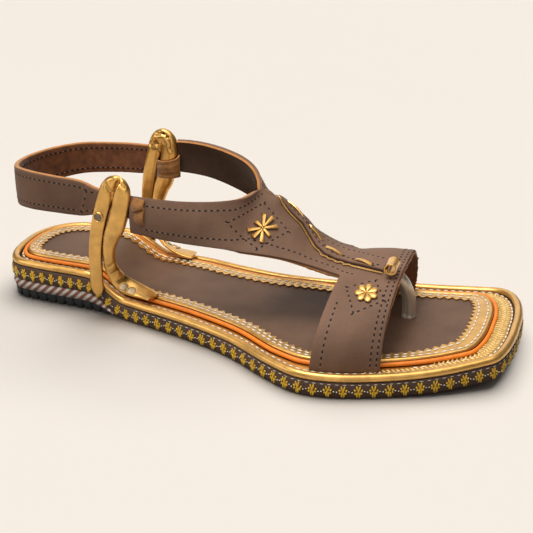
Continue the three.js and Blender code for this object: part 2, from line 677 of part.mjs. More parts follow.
// Soft strip or tube: rounded sections square to a line of points, turned about it
function strip(line, sizes, sides, boxiness) {
  const rings = line.map((centre, i) => {
    const along = heading(line, i);
    const flat = new THREE.Vector3(0, 1, 0).addScaledVector(along, -along.y).normalize();
    const wide = new THREE.Vector3().crossVectors(along, flat);
    const turn = THREE.MathUtils.degToRad(sizes[i].turn);
    const widthWay = wide.clone().multiplyScalar(Math.cos(turn)).addScaledVector(flat, Math.sin(turn));
    const thickWay = flat.clone().multiplyScalar(Math.cos(turn)).addScaledVector(wide, -Math.sin(turn));
    const ring = [];
    for (let j = 0; j < sides; j += 1) {
      const angle = 2 * Math.PI * (j + 0.5) / sides;
      const c = Math.cos(angle);
      const d = Math.sin(angle);
      ring.push(centre.clone()
        .addScaledVector(widthWay, Math.sign(c) * Math.abs(c) ** boxiness * sizes[i].wide / 2)
        .addScaledVector(thickWay, Math.sign(d) * Math.abs(d) ** boxiness * sizes[i].thick / 2));
    }
    return ring;
  });
  return skin(rings);
}

// The two padded loops, the heel strap between them, and the toe post
const LOOP_STEPS = 3;
const LOOP_SIDES = 10;
const LOOP_BOXINESS = 0.8;
const HEEL_STRAP_STEPS = 4;
const POST_STEPS = 3;
const POST_SIDES = 10;
const POST_BOXINESS = 1;
function loopPlace(side, row) {
  const medial = side === 'medial';
  return new THREE.Vector3(
    medial ? row.x - MEDIAL_LOOP_LEAN * (row.z - LOOP[0].z) : row.x,
    medial ? row.medial : -row.lateral,
    medial ? LOOP[0].z + (row.z - LOOP[0].z) * MEDIAL_LOOP_STRETCH : row.z,
  );
}
function buildLoops() {
  const rows = smoothRows(LOOP, LOOP_STEPS);
  for (const side of ['lateral', 'medial']) {
    const line = rows.map((row) => loopPlace(side, row));
    const mirrored = side === 'medial' ? -1 : 1;
    const sizes = rows.map((row) => ({ wide: row.wide, thick: row.thick, turn: row.turn * mirrored }));
    addPart(`loop_${side}`, strip(line, sizes, LOOP_SIDES, LOOP_BOXINESS), GOLD_LEATHER);
  }
  addPart('heel_strap', ribbon(HEEL_STRAP, STRAP_WALL, HEEL_STRAP_STEPS), BROWN_LEATHER);
  addPart('keeper_medial', ribbon(KEEPER, KEEPER_WALL, KEEPER_STEPS), SUEDE);

  const postRows = smoothRows(TOE_POST, POST_STEPS);
  const postLine = postRows.map((row) => new THREE.Vector3(row.x, row.y, row.z));
  const postSizes = postRows.map((row) => ({ wide: row.radius * 2, thick: row.radius * 2, turn: 0 }));
  addPart('toe_post', strip(postLine, postSizes, POST_SIDES, POST_BOXINESS), PEWTER);
}

// Point on top of the upper over a place in plan
function topPoint(x, y) {
  const onBand = x > BAND_BACK + BAND_LEAN;
  const side = y < BAND_PEAK_Y ? 'lateral' : 'medial';
  const toward = side === 'lateral' ? 1 : -1;
  const at = (share) => {
    if (!onBand) return instepPoint(side, x, share);
    return bandPoint(x, side === 'lateral' ? share * CROWN_ROUND : 1 - share * (1 - CROWN_ROUND));
  };
  let low = 0;
  let high = 1;
  for (let i = 0; i < HALVINGS; i += 1) {
    const middle = (low + high) / 2;
    if ((at(middle).y - y) * toward < 0) low = middle;
    else high = middle;
  }
  return at((low + high) / 2);
}

// Patch lying on the upper: a grid of points given by a function, thickened outwards from a small gap
function laidPatch(alongSteps, acrossSteps, pointAt, gap, thick) {
  const points = [];
  const columns = [];
  for (let i = 0; i <= alongSteps; i += 1) {
    const column = [];
    for (let j = 0; j <= acrossSteps; j += 1) {
      column.push(points.push(pointAt(i / alongSteps, j / acrossSteps)) - 1);
    }
    columns.push(column);
  }
  const quads = [];
  weave(columns, quads);
  return thicken(points, quads, gap + thick, -gap);
}

function buildOverlay() {
  const rows = smoothRows(OVERLAY, OVERLAY_STEPS.between);
  const onStrip = (along, across) => {
    const row = rows[Math.round(along * (rows.length - 1))];
    return topPoint(row.x, row.y + row.half * (2 * across - 1));
  };
  const laid = laidPatch(rows.length - 1, OVERLAY_STEPS.across, onStrip, TRIM_GAP, OVERLAY_THICK);
  addPart('instep_overlay', laid, BROWN_LEATHER);
  const onTab = (along, across) => instepPoint(
    'lateral',
    THREE.MathUtils.lerp(TAB.from, TAB.to, along),
    THREE.MathUtils.lerp(TAB.low, TAB.high, across),
  );
  const tab = laidPatch(TAB_STEPS.along, TAB_STEPS.across, onTab, SEAM, TAB.thick);
  addPart('tab_lateral', tab, SUEDE);

  const end = BEAD.long / 2;
  const profile = [
    new THREE.Vector2(BEAD.bore, -end),
    new THREE.Vector2(BEAD.radius, -end),
    new THREE.Vector2(BEAD.radius, end),
    new THREE.Vector2(BEAD.bore, end),
    new THREE.Vector2(BEAD.bore, -end),
  ];
  const bead = new THREE.LatheGeometry(profile, BEAD.sides);
  const seat = topPoint(BEAD.x, BEAD.y);
  bead.translate(seat.x, seat.y, seat.z + BEAD.radius + TRIM_GAP * 2);
  addPart('bead', bead, GOLD_LEATHER);
}

// Domed rivet head with its back at the origin, rising along +Y
function rivetHead(radius) {
  const profile = RIVET_DOME.map(({ out, up }) => new THREE.Vector2(radius * out, RIVET_RISE * up));
  return new THREE.LatheGeometry(profile, RIVET_SIDES);
}

// Flat ornament with narrow-waisted petals, its back at the origin, rising along +Z
const PETAL_SPREAD = 0.16;
function petalPlate({ reach, waist, points, thick }) {
  const shape = new THREE.Shape();
  for (let i = 0; i < points * 2; i += 1) {
    const angle = Math.PI * i / points;
    const radius = i % 2 ? waist : reach;
    const spread = i % 2 ? [0] : [-PETAL_SPREAD, PETAL_SPREAD];
    for (const shift of spread) {
      const x = radius * Math.cos(angle + shift);
      const y = radius * Math.sin(angle + shift);
      if (i === 0 && shift === spread[0]) shape.moveTo(x, y);
      else shape.lineTo(x, y);
    }
  }
  return new THREE.ExtrudeGeometry(shape, { depth: thick, bevelEnabled: false });
}

// Lays an ornament on the surface given by a function of two places, along the surface's own normal
function layOn(geometry, pointAt, u, v, gap) {
  const step = 0.02;
  const centre = pointAt(u, v);
  const along = pointAt(u + step * LENGTH, v).sub(pointAt(u - step * LENGTH, v));
  const across = pointAt(u, v + step).sub(pointAt(u, v - step));
  const normal = along.cross(across).normalize();
  const facing = new THREE.Quaternion().setFromUnitVectors(new THREE.Vector3(0, 0, 1), normal);
  geometry.applyQuaternion(facing);
  const seat = centre.addScaledVector(normal, gap);
  geometry.translate(seat.x, seat.y, seat.z);
  return geometry;
}

// Rivets of the loops, and the ornaments on the straps
const REAR_LEG_ROWS = 6;
const FOOT_ROWS = 4;
function buildTrim() {
  const rows = smoothRows(LOOP, LOOP_STEPS);
  const nearest = (choices, column, place) => choices.reduce((best, row) => (
    Math.abs(row[column] - place) < Math.abs(best[column] - place) ? row : best));
  const rearLeg = rows.slice(0, REAR_LEG_ROWS * LOOP_STEPS);
  const legRow = nearest(rearLeg, 'z', LEG_RIVET.z);
  const leg = loopPlace('lateral', legRow);
  const head = rivetHead(LEG_RIVET.radius);
  head.rotateX(Math.PI);
  head.translate(leg.x, leg.y - legRow.thick / 2 - SEAM, leg.z);
  addPart('leg_rivet', head, DULL_METAL);

  for (const side of ['lateral', 'medial']) {
    const line = rows.map((row) => loopPlace(side, row));
    const outward = new THREE.Vector3(0, side === 'medial' ? 1 : -1, 0);
    FOOT_RIVETS.forEach((rivet, order) => {
      const footRows = rows.slice(-FOOT_ROWS * LOOP_STEPS);
      const seatRow = nearest(footRows, 'x', rivet.x);
      const along = heading(line, rows.indexOf(seatRow));
      const rising = new THREE.Vector3(-along.z, 0, along.x).normalize();
      const bank = THREE.MathUtils.degToRad(seatRow.turn);
      const up = rising.clone().multiplyScalar(Math.sin(bank)).addScaledVector(outward, Math.cos(bank));
      const across = outward.clone().multiplyScalar(Math.sin(bank)).addScaledVector(rising, -Math.cos(bank));
      const seat = loopPlace(side, seatRow)
        .addScaledVector(across, rivet.out)
        .addScaledVector(up, seatRow.thick / 2 + TRIM_GAP);
      const stud = rivetHead(rivet.radius);
      stud.applyQuaternion(new THREE.Quaternion().setFromUnitVectors(new THREE.Vector3(0, 1, 0), up));
      stud.translate(seat.x, seat.y, seat.z);
      addPart(`foot_rivet_${side}_${order + 1}`, stud, DULL_METAL);
    });

    const fromLowEdge = (rise) => (side === 'lateral' ? rise : 1 - rise);
    const onQuarter = (x, across) => instepPoint(side, x, fromLowEdge(across));
    const star = layOn(petalPlate(STAR), onQuarter, STAR.x, fromLowEdge(STAR.rise), ORNAMENT_GAP);
    addPart(`star_${side}`, star, GOLD_LEATHER);
    const flower = layOn(petalPlate(FLOWER), bandPoint, FLOWER.x, FLOWER[side], ORNAMENT_GAP);
    addPart(`flower_${side}`, flower, GOLD_LEATHER);
  }
}

buildSole();
buildHeelPad();
buildUpper();
buildLoops();
buildOverlay();
buildTrim();

// The middle of the shoe's box stands over the origin
const middle = new THREE.Box3().setFromObject(shoe).getCenter(new THREE.Vector3());
shoe.position.set(-middle.x, -middle.y, 0);

export default shoe;
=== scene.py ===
"""Dresses a right-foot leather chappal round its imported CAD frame: leather, gold foil, thread and rubber."""

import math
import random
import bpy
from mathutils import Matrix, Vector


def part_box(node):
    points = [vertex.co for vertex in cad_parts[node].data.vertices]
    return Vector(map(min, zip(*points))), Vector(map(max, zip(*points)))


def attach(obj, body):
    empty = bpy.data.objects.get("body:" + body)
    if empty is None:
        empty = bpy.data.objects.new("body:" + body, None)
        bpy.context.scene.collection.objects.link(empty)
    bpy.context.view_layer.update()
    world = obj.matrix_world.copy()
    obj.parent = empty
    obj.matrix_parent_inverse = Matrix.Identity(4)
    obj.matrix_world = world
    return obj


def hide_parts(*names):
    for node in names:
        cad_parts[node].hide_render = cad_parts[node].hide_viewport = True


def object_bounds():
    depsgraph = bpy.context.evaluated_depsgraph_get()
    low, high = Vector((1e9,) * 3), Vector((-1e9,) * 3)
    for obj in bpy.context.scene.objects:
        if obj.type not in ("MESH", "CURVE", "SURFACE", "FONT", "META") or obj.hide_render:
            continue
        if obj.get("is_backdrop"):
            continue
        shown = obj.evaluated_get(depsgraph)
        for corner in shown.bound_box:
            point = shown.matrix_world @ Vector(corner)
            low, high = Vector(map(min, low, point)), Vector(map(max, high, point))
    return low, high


bl_info = {
    "name": "Leather chappal",
    "version": (1, 0, 0),
    "blender": (4, 5, 0),
    "location": "View3D > Sidebar > Chappal",
    "description": "Builds a right-foot leather chappal round its packed CAD frame",
    "category": "Object",
}

from functools import cache
from types import SimpleNamespace

import bmesh
import bpy
from bpy.props import FloatProperty, FloatVectorProperty, PointerProperty
from mathutils import Matrix, Vector
from mathutils.bvhtree import BVHTree

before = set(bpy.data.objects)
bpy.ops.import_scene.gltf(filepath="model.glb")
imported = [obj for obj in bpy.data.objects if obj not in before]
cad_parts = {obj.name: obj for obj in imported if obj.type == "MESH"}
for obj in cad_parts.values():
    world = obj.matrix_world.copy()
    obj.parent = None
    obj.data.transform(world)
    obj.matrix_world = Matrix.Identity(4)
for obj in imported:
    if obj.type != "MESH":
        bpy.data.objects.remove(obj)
CAD_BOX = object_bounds()
MM = 0.001
MERGE = 2e-6
UP = Vector((0, 0, 1))
SIDES = {"lateral": -1, "medial": 1}


def table(columns, *rows):
    """Columns of a short table by name, with the row number as one more column."""
    made = {name: [row[i] for row in rows] for i, name in enumerate(columns.split())}
    made["order"] = list(range(len(rows)))
    return made


def read(rows, column, place, key="order"):
    """Smooth reading of one column at a place along the key column."""
    keys, values = rows[key], rows[column]
    last = len(keys) - 1
    place = min(max(place, keys[0]), keys[last])
    i = 0
    while i < last - 1 and place > keys[i + 1]:
        i += 1

    def slope(j):
        before, after = max(j - 1, 0), min(j + 1, last)
        return (values[after] - values[before]) / (keys[after] - keys[before])

    span = keys[i + 1] - keys[i]
    t = (place - keys[i]) / span
    rise = 3 * t * t - 2 * t**3
    ease_out = slope(i) * t * (1 - t) ** 2 * span
    ease_in = slope(i + 1) * t * t * (t - 1) * span
    return values[i] + (values[i + 1] - values[i]) * rise + ease_out + ease_in


def row_at(rows, place):
    """All columns of a table at a place between its rows."""
    return SimpleNamespace(**{name: read(rows, name, place) for name in rows if name != "order"})


def lerp(low, high, share):
    return low + (high - low) * share


def smoothstep(value, low, high):
    t = min(max((value - low) / (high - low), 0), 1)
    return t * t * (3 - 2 * t)


def shares(count):
    """Even shares from 0 to 1, both counted in."""
    return [k / count for k in range(count + 1)]


# Sizes of the shoe in mm, in the maker's frame: x from heel to toe, y to the inner side, z up
LENGTH = 279
BALL_WIDTH = 104
INSTEP_HEIGHT = 73
HEEL_LIFT = 10.9
TOE_SPRING = 6
RAND_HEIGHT = 8.5
SEAM = 0.3
TOPSOLE_THICK = 1.7
TOPSOLE_INSET = 4.6
INSOLE_THICK = 1.6
INSOLE_INSET = 12.5
TOE_SETBACK = 2.5
CORD_INSET = 10.7
DROP_START = 52.8
DROP_LENGTH = 25
SPRING_START = 212
AXIS_Y = 4
HEEL_ROUND = {"lateral": 17, "medial": 28}
TOE_ROUND = {"lateral": 8, "medial": 21}
HEEL_POWER = {"lateral": 2.8, "medial": 2}
TOE_POWER = 2.4
ROUND_LOSS = 0.5
LEAST_ROUND = 7
SLOPE_STEP = 0.5
END_TRIM = 0.12
SOLE = table(
    "along lateral medial",
    (0, 0.225, 0.34), (0.09, 0.243, 0.346), (0.21, 0.252, 0.345), (0.354, 0.322, 0.347),
    (0.43, 0.371, 0.318), (0.515, 0.449, 0.298), (0.6, 0.571, 0.312), (0.66, 0.636, 0.345),
    (0.72, 0.628, 0.39), (0.785, 0.571, 0.427), (0.89, 0.445, 0.458), (1, 0.256, 0.455),
)
# How much nearer the edge the inner lines run: the cord, the insole and its binding
INNER_SHIFT = table(
    "along shift",
    (0, -4), (0.12, -4.2), (0.25, -3.4), (0.36, -2.2), (0.5, -2.2), (0.6, -2.8), (0.65, -1.1),
    (0.68, 0), (1, 0),
)


def sole_base(x):
    """Underside of the rand: heel lift, a quick drop, and the toe's spring."""
    drop = smoothstep(x, DROP_START, DROP_START + DROP_LENGTH)
    toe = max(x - SPRING_START, 0) / (LENGTH - SPRING_START)
    return HEEL_LIFT * (1 - drop) + TOE_SPRING * toe * toe


def rand_top(x):
    return sole_base(x) + RAND_HEIGHT


def topsole_foot(x):
    return rand_top(x) + SEAM


def topsole_top(x):
    return topsole_foot(x) + TOPSOLE_THICK


def insole_foot(x):
    return topsole_top(x) + SEAM


def insole_top(x):
    return insole_foot(x) + INSOLE_THICK


def ends_of(distance, inner):
    """Heel end and toe end of a line that lies a given distance in from the edge."""
    if not inner:
        return distance, LENGTH - distance
    return distance + INNER_SHIFT["shift"][0], LENGTH - distance - TOE_SETBACK


def side_y(side, x, distance, inner=False):
    """One side of the sole's outline, a given distance in from the edge, with rounded corners."""
    heel, toe = ends_of(distance, inner)
    inset = distance + (read(INNER_SHIFT, "shift", x / LENGTH, "along") if inner else 0)
    behind, edge, ahead = (read(SOLE, side, (x + step) / LENGTH, "along") * BALL_WIDTH
                           for step in (-SLOPE_STEP, 0, SLOPE_STEP))
    slope = (ahead - behind) / (2 * SLOPE_STEP)
    reach = edge - inset * math.hypot(1, slope) - SIDES[side] * AXIS_Y
    for full, gap, power in ((HEEL_ROUND, x - heel, HEEL_POWER[side]), (TOE_ROUND, toe - x, TOE_POWER)):
        corner = max(full[side] - inset * ROUND_LOSS, LEAST_ROUND)
        share = max(corner - gap, 0) / corner
        reach *= max(1 - share**power, 0) ** (1 / power)
    return AXIS_Y + SIDES[side] * reach


OUTLINE_STEPS = 300


@cache
def outline(distance, inner, count):
    """Evenly spaced rails round the sole: place, direction inwards and run along the edge."""
    heel, toe = ends_of(distance, inner)
    places = [lerp(heel + END_TRIM, toe - END_TRIM, (1 - math.cos(math.pi * share)) / 2)
              for share in shares(OUTLINE_STEPS)]
    there = [Vector((x, side_y("lateral", x, distance, inner))) for x in places]
    back = [Vector((x, side_y("medial", x, distance, inner))) for x in reversed(places)]
    points = even_points(there + back + there[:1], count)
    rails = []
    run = 0
    for i, point in enumerate(points):
        after = points[(i + 1) % count]
        along = (after - points[i - 1]).normalized()
        rails.append(SimpleNamespace(x=point.x, y=point.y, inx=-along.y, iny=along.x, run=run))
        run += (after - point).length
    return rails


def beside(rail, across, height):
    """Place a given distance in from a rail, at a height."""
    return Vector((rail.x + rail.inx * across, rail.y + rail.iny * across, height))


def run_end(rails):
    return rails[-1].run + rails[1].run


def even_points(line, count, open_line=False):
    """Points at even distances along a line of points; an open line keeps both its ends."""
    lengths = [0]
    for before, after in zip(line, line[1:]):
        lengths.append(lengths[-1] + (after - before).length)
    step = lengths[-1] / (count - 1 if open_line else count)
    points = []
    i = 0
    for k in range(count):
        goal = step * k
        while i < len(line) - 2 and lengths[i + 1] < goal:
            i += 1
        share = (goal - lengths[i]) / max(lengths[i + 1] - lengths[i], 1e-9)
        points.append(line[i].lerp(line[i + 1], min(share, 1)))
    return points


def line_length(line):
    return sum((after - before).length for before, after in zip(line, line[1:]))


# Where the maker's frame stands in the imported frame, in mm
SOLE_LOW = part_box("outsole")[0] / MM
HEEL_AT = SOLE_LOW.x - END_TRIM
SIDE_AT = SOLE_LOW.y - min(rail.y for rail in outline(0, False, 900))


def at(place):
    """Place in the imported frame, in metres, of a place in the maker's frame in mm."""
    return Vector((place[0] + HEEL_AT, place[1] + SIDE_AT, place[2])) * MM


def home(point):
    """Place in the maker's frame, in mm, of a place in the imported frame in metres."""
    return Vector((point[0] / MM - HEEL_AT, point[1] / MM - SIDE_AT, point[2] / MM))


# Straps: the ball strap, the instep piece and the two quarter straps
STRAP_WALL = 2.6
BAND_BACK = 189.8
BAND_FRONT = 222
BAND_PEAK_Y = 2
BAND_INSET = 6.3
BAND_SQUARENESS = {"lateral": 2.3, "medial": 2}
BAND_TAPER = 3.5
BAND_LEAN = 3
CROWN_ROUND = 0.56
THROAT_X = 144
STRAP_END = {"lateral": 86, "medial": 83}
STRAP_BULGE = 1.6
BULGE_FULL_AT = 12
BAND_CROWN = table("x crown", (190.5, 33.4), (198, 34.8), (210, 36.2), (222, 36.4))
INSTEP_COLUMNS = "x low_out top_out low_high top_high"
INSTEP = {
    "lateral": table(
        INSTEP_COLUMNS,
        (78, 33, 30.5, 0.75, 1.005), (90, 34, 31, 0.743, 1.007), (102, 35, 31, 0.738, 1.01),
        (115, 35.3, 29.8, 0.735, 1.014), (128, 34.6, 26, 0.732, 1.018), (137, 33, 19.5, 0.724, 1.013),
        (142, 31.6, 11, 0.717, 1.004), (144, 31, -2, 0.713, 1), (152, 28, -2, 0.696, 0.95),
        (163, 23.6, -2, 0.664, 0.815), (174, 20.8, -2, 0.63, 0.676), (183, 20.2, -2, 0.606, 0.622),
        (190.5, 21, -2, 0.592, 0.606),
    ),
    "medial": table(
        INSTEP_COLUMNS,
        (78, 36.2, 34.6, 0.85, 1.105), (90, 36.5, 34, 0.851, 1.12), (102, 36.5, 32.2, 0.84, 1.123),
        (115, 35.6, 28, 0.804, 1.117), (128, 33.2, 20.2, 0.76, 1.11), (137, 31, 12.6, 0.735, 1.085),
        (142, 29.6, 6.4, 0.722, 1.038), (144, 29, 2, 0.716, 1), (152, 27, 2, 0.694, 0.95),
        (163, 22.6, 2, 0.653, 0.815), (174, 19, 2, 0.606, 0.676), (183, 17, 2, 0.577, 0.622),
        (190.5, 17.6, 2, 0.562, 0.606),
    ),
}


def band_point(x, around):
    """Ball strap: around is 0 at the lateral foot and 1 at the medial foot."""
    side = "lateral" if around < CROWN_ROUND else "medial"
    share = around / CROWN_ROUND if side == "lateral" else (1 - around) / (1 - CROWN_ROUND)
    angle = share * math.pi / 2
    width = (x - BAND_BACK) / (BAND_FRONT - BAND_BACK)
    taper = BAND_TAPER * width * max(around - CROWN_ROUND, 0) / (1 - CROWN_ROUND)
    place = x - taper + BAND_LEAN * (1 - width) * math.sin(angle)
    power = 2 / BAND_SQUARENESS[side]
    out = max(math.cos(angle), 0) ** power
    rise = read(BAND_CROWN, "crown", x, "x") * math.sin(angle) ** power
    return Vector((place, lerp(BAND_PEAK_Y, side_y(side, place, BAND_INSET), out), insole_foot(place) + rise))


def instep_point(side, x, rise):
    """Instep piece or quarter strap: rise is 0 on the lower edge and 1 on the upper edge."""
    sign = SIDES[side]
    out = {edge: sign * read(INSTEP[side], f"{edge}_out", x, "x") for edge in ("low", "top")}
    high = {edge: read(INSTEP[side], f"{edge}_high", x, "x") * INSTEP_HEIGHT for edge in out}
    low, top = (Vector((out[edge], high[edge])) for edge in out)
    lean = (top - low).normalized()
    fullness = min(1, abs(top.y - low.y) / BULGE_FULL_AT)
    bulge = STRAP_BULGE * math.sin(math.pi * rise) * fullness
    spot = low.lerp(top, rise)
    return Vector((x, spot.x + sign * lean.y * bulge, spot.y + abs(lean.x) * bulge))


HALVINGS = 30


def around_at(y):
    """Share round the ball strap's back edge at which it reaches a place across the foot."""
    low, high = (0, CROWN_ROUND) if y < BAND_PEAK_Y else (CROWN_ROUND, 1)
    for _ in range(HALVINGS):
        middle = (low + high) / 2
        low, high = (middle, high) if band_point(BAND_BACK, middle).y < y else (low, middle)
    return (low + high) / 2


# Mesh helpers
def sheet(bm, across, along, place, uv=None):
    """Grid of quads with its corners set by place(i, j) in mm; returns its vertices and faces."""
    layer = bm.loops.layers.uv.verify()
    verts = bmesh.ops.create_grid(bm, x_segments=across, y_segments=along, size=1)["verts"]
    spots = {}
    for vert in verts:
        spots[vert] = round((vert.co.x + 1) / 2 * across), round((vert.co.y + 1) / 2 * along)
        vert.co = at(place(*spots[vert]))
    faces = list(dict.fromkeys(face for vert in verts for face in vert.link_faces))
    for face in faces:
        for loop in face.loops:
            i, j = spots[loop.vert]
            loop[layer].uv = uv(i, j) if uv else (i / across, j / along)
    return spots, faces


def weld(bm, close=True):
    """Joins what lies on the same place and, where asked, closes the open ends."""
    bmesh.ops.remove_doubles(bm, verts=bm.verts[:], dist=MERGE)
    edges = [edge for edge in bm.edges if edge.is_boundary]
    if close and edges:
        bmesh.ops.holes_fill(bm, edges=edges, sides=0)


def face_toward(bm, face, way):
    """Turns a whole sheet so that one of its faces looks the given way."""
    if face.normal.dot(way) < 0:
        bmesh.ops.reverse_faces(bm, faces=bm.faces[:])


def face_up(bm):
    """Turns a sheet so that its flattest face looks up."""
    bmesh.ops.recalc_face_normals(bm, faces=bm.faces[:])
    face_toward(bm, max(bm.faces, key=lambda face: abs(face.normal.z)), UP)


def facing(bm, way):
    """Turns a sheet so that its first face looks the given way."""
    bm.normal_update()
    bm.faces.ensure_lookup_table()
    face_toward(bm, bm.faces[0], way)


SHARP_ANGLE = math.radians(48)


def finished(bm, name, finishes, nodes=(), slot=None, closed=True):
    """Turns a bmesh into a smooth-shaded piece on the shoe, standing for the given CAD nodes."""
    if closed:
        bmesh.ops.recalc_face_normals(bm, faces=bm.faces[:])
    for face in bm.faces:
        face.smooth = True
    for edge in bm.edges:
        if len(edge.link_faces) == 2 and edge.calc_face_angle() > SHARP_ANGLE:
            edge.smooth = False
    mesh = bpy.data.meshes.new(name)
    bm.to_mesh(mesh)
    bm.free()
    for stuff in finishes:
        mesh.materials.append(finish(stuff))
    piece = bpy.data.objects.new(name, mesh)
    bpy.context.scene.collection.objects.link(piece)
    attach(piece, "root")
    if nodes:
        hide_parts(*nodes)
    return piece


def lofted(across, along, place, uv=None):
    """Closed shell over a grid that meets itself across, with its two ends filled."""
    bm = bmesh.new()
    sheet(bm, across, along, place, uv)
    weld(bm)
    return bm


def soften(piece, width, angle):
    """Rounds the edges of a piece that turn by more than the angle."""
    bevel = piece.modifiers.new("Worn edge", "BEVEL")
    bevel.width = width * MM
    bevel.segments = 2
    bevel.limit_method = "ANGLE"
    bevel.angle_limit = math.radians(angle)


WALL_EDGE_ANGLE = 50


def wall(piece, thick, edge, inner=0, rim=0, even=True):
    """Gives a sheet its leather thickness inwards, with its own material inside and on the cut edge."""
    solid = piece.modifiers.new("Thickness", "SOLIDIFY")
    solid.thickness = thick * MM
    solid.offset = -1
    solid.use_even_offset = even
    solid.material_offset = inner
    solid.material_offset_rim = rim
    soften(piece, edge, WALL_EDGE_ANGLE)


def ring(rails, section, height, lift=None):
    """Closed ring along the rails; section gives distance in and height, lift may change it rail by rail."""
    count, sides = len(rails), len(section)

    def place(i, j):
        rail = rails[j % count]
        across, up = section[i % sides]
        if lift:
            across, up = lift(i % sides, j % count, across, up)
        return beside(rail, across, height(rail.x) + up)

    runs = [rail.run for rail in rails] + [run_end(rails)]
    return lofted(sides, count, place, lambda i, j: (i / sides, runs[j]))


def circle(radius, sides):
    angles = [math.tau * i / sides for i in range(sides)]
    return [(radius * math.cos(angle), radius * math.sin(angle)) for angle in angles]


SLAB_LIP = 5.5
SLAB_ROUND = 0.3


def slab(distance, inner, bottom, top, corner, count):
    """Closed layer of the sole with rounded edges, its top and underside bridged from side to side."""
    rails = outline(distance, inner, count)
    small = corner * SLAB_ROUND
    profile = [(SLAB_LIP, 0, 0), (corner, 0, 0), (small, 0, small), (0, 0, corner)]
    profile += [(across, 1, -up) for across, _, up in reversed(profile)]

    def place(i, j):
        rail = rails[j % count]
        across, level, up = profile[i]
        return beside(rail, across, (top if level else bottom)(rail.x) + up)

    bm = bmesh.new()
    last = len(profile) - 1
    spots, _ = sheet(bm, last, count, place)
    weld(bm, close=False)
    spots = {vert: spot for vert, spot in spots.items() if vert.is_valid}
    for level in (0, last):
        chains = []
        for edge in bm.edges:
            if not edge.is_boundary:
                continue
            ends = [spots[vert] for vert in edge.verts]
            if all(i == level for i, _ in ends) and len({rails[j % count].y < AXIS_Y for _, j in ends}) == 1:
                chains.append(edge)
        bmesh.ops.bridge_loops(bm, edges=chains)
    return bm


@cache
def stitch_mould():
    """One low-faced bead of thread, a unit long and wide, kept as a mesh to cast stitches from."""
    bm = bmesh.new()
    bmesh.ops.create_uvsphere(bm, u_segments=6, v_segments=4, radius=0.5)
    bmesh.ops.recalc_face_normals(bm, faces=bm.faces[:])
    mould = bpy.data.meshes.new("stitch_mould")
    bm.to_mesh(mould)
    bm.free()
    return mould


def thread(bm, centre, along, up, size):
    """One short stitch; size is its length, width and height in mm."""
    side = up.cross(along).normalized()
    rise = along.cross(side).normalized()
    turn = Matrix((side * size[1] * MM, rise * size[2] * MM, along * size[0] * MM)).transposed()
    middle = at(centre)
    before = len(bm.verts)
    bm.from_mesh(stitch_mould())
    bm.verts.ensure_lookup_table()
    for k in range(before, len(bm.verts)):
        bm.verts[k].co = middle + turn @ bm.verts[k].co


def spaced(line, pitch):
    """Even stops along a line of (place, up) pairs: place, direction and the up that is nearest."""
    places = [place for place, _ in line]
    count = max(round(line_length(places) / pitch), 2)
    stops = even_points(places, count, open_line=True)
    for i, stop in enumerate(stops):
        along = (stops[min(i + 1, count - 1)] - stops[max(i - 1, 0)]).normalized()
        yield stop, along, min(line, key=lambda pair: (pair[0] - stop).length_squared)[1]


def tube(bm, line, radius, sides):
    """Round tube along a line of (place, up) pairs; radius is a function of the share along it."""
    count = len(line) - 1

    def place(i, j):
        here, up = line[j]
        along = (line[min(j + 1, count)][0] - line[max(j - 1, 0)][0]).normalized()
        side = up.cross(along).normalized()
        angle = math.tau * (i % sides) / sides
        return here + (side * math.cos(angle) + along.cross(side) * math.sin(angle)) * radius(j / count)

    sheet(bm, sides, count, place)
    weld(bm)


# Material helpers
def linear(code):
    """Linear colour of an sRGB hex value."""
    made = []
    for i in (1, 3, 5):
        value = int(code[i:i + 2], 16) / 255
        made.append(value / 12.92 if value <= 0.04045 else ((value + 0.055) / 1.055) ** 2.4)
    return (*made, 1)


def shade(color, factor):
    return (*(min(value * factor, 1) for value in color[:3]), 1)


def add(owner, kind, inputs=None, **settings):
    """Adds a node to a material or a world, with its settings, and its inputs either set or linked."""
    made = owner.node_tree.nodes.new(kind)
    for name, value in settings.items():
        setattr(made, name, value)
    for name, value in (inputs or {}).items():
        socket = made.inputs[name]
        if isinstance(value, bpy.types.NodeSocket):
            owner.node_tree.links.new(value, socket)
        else:
            socket.default_value = value
    return made


def blank(name, inputs):
    """New material with the given inputs of its shader set."""
    made = bpy.data.materials.new(name)
    made.use_nodes = True
    for socket, value in inputs.items():
        made.node_tree.nodes["Principled BSDF"].inputs[socket].default_value = value
    return made


def feed(made, socket, value):
    """Links a value to an input of the material's shader; returns the material."""
    made.node_tree.links.new(value, made.node_tree.nodes["Principled BSDF"].inputs[socket])
    return made


def coords(made, kind="Object"):
    return add(made, "ShaderNodeTexCoord").outputs[kind]


def noise(made, size, detail, vector=None, distortion=0):
    """Soft noise whose patches are size mm across."""
    vector = coords(made) if vector is None else vector
    inputs = {"Vector": vector, "Scale": 1 / (size * MM), "Detail": detail, "Distortion": distortion}
    return add(made, "ShaderNodeTexNoise", inputs).outputs["Fac"]


def ramp(owner, value, stops):
    """Colours met in turn as a value grows; stops are (place, colour) pairs."""
    made = add(owner, "ShaderNodeValToRGB", {"Fac": value})
    elements = made.color_ramp.elements
    for element, (place, color) in zip(elements, (stops[0], stops[-1])):
        element.position = place
        element.color = color
    for place, color in stops[1:-1]:
        elements.new(place).color = color
    return made.outputs["Color"]


MOTTLE_EDGE = 0.25


def mottle(made, size, low, high, detail=4, vector=None):
    """Two colours mixed by soft noise whose patches are size mm across; returns colour and noise."""
    patches = noise(made, size, detail, vector)
    return ramp(made, patches, ((0.5 - MOTTLE_EDGE, low), (0.5 + MOTTLE_EDGE, high))), patches


def blend(made, factor, low, high, how="MIX"):
    inputs = {"Factor": factor, 6: low, 7: high}
    return add(made, "ShaderNodeMix", inputs, data_type="RGBA", blend_type=how).outputs[2]


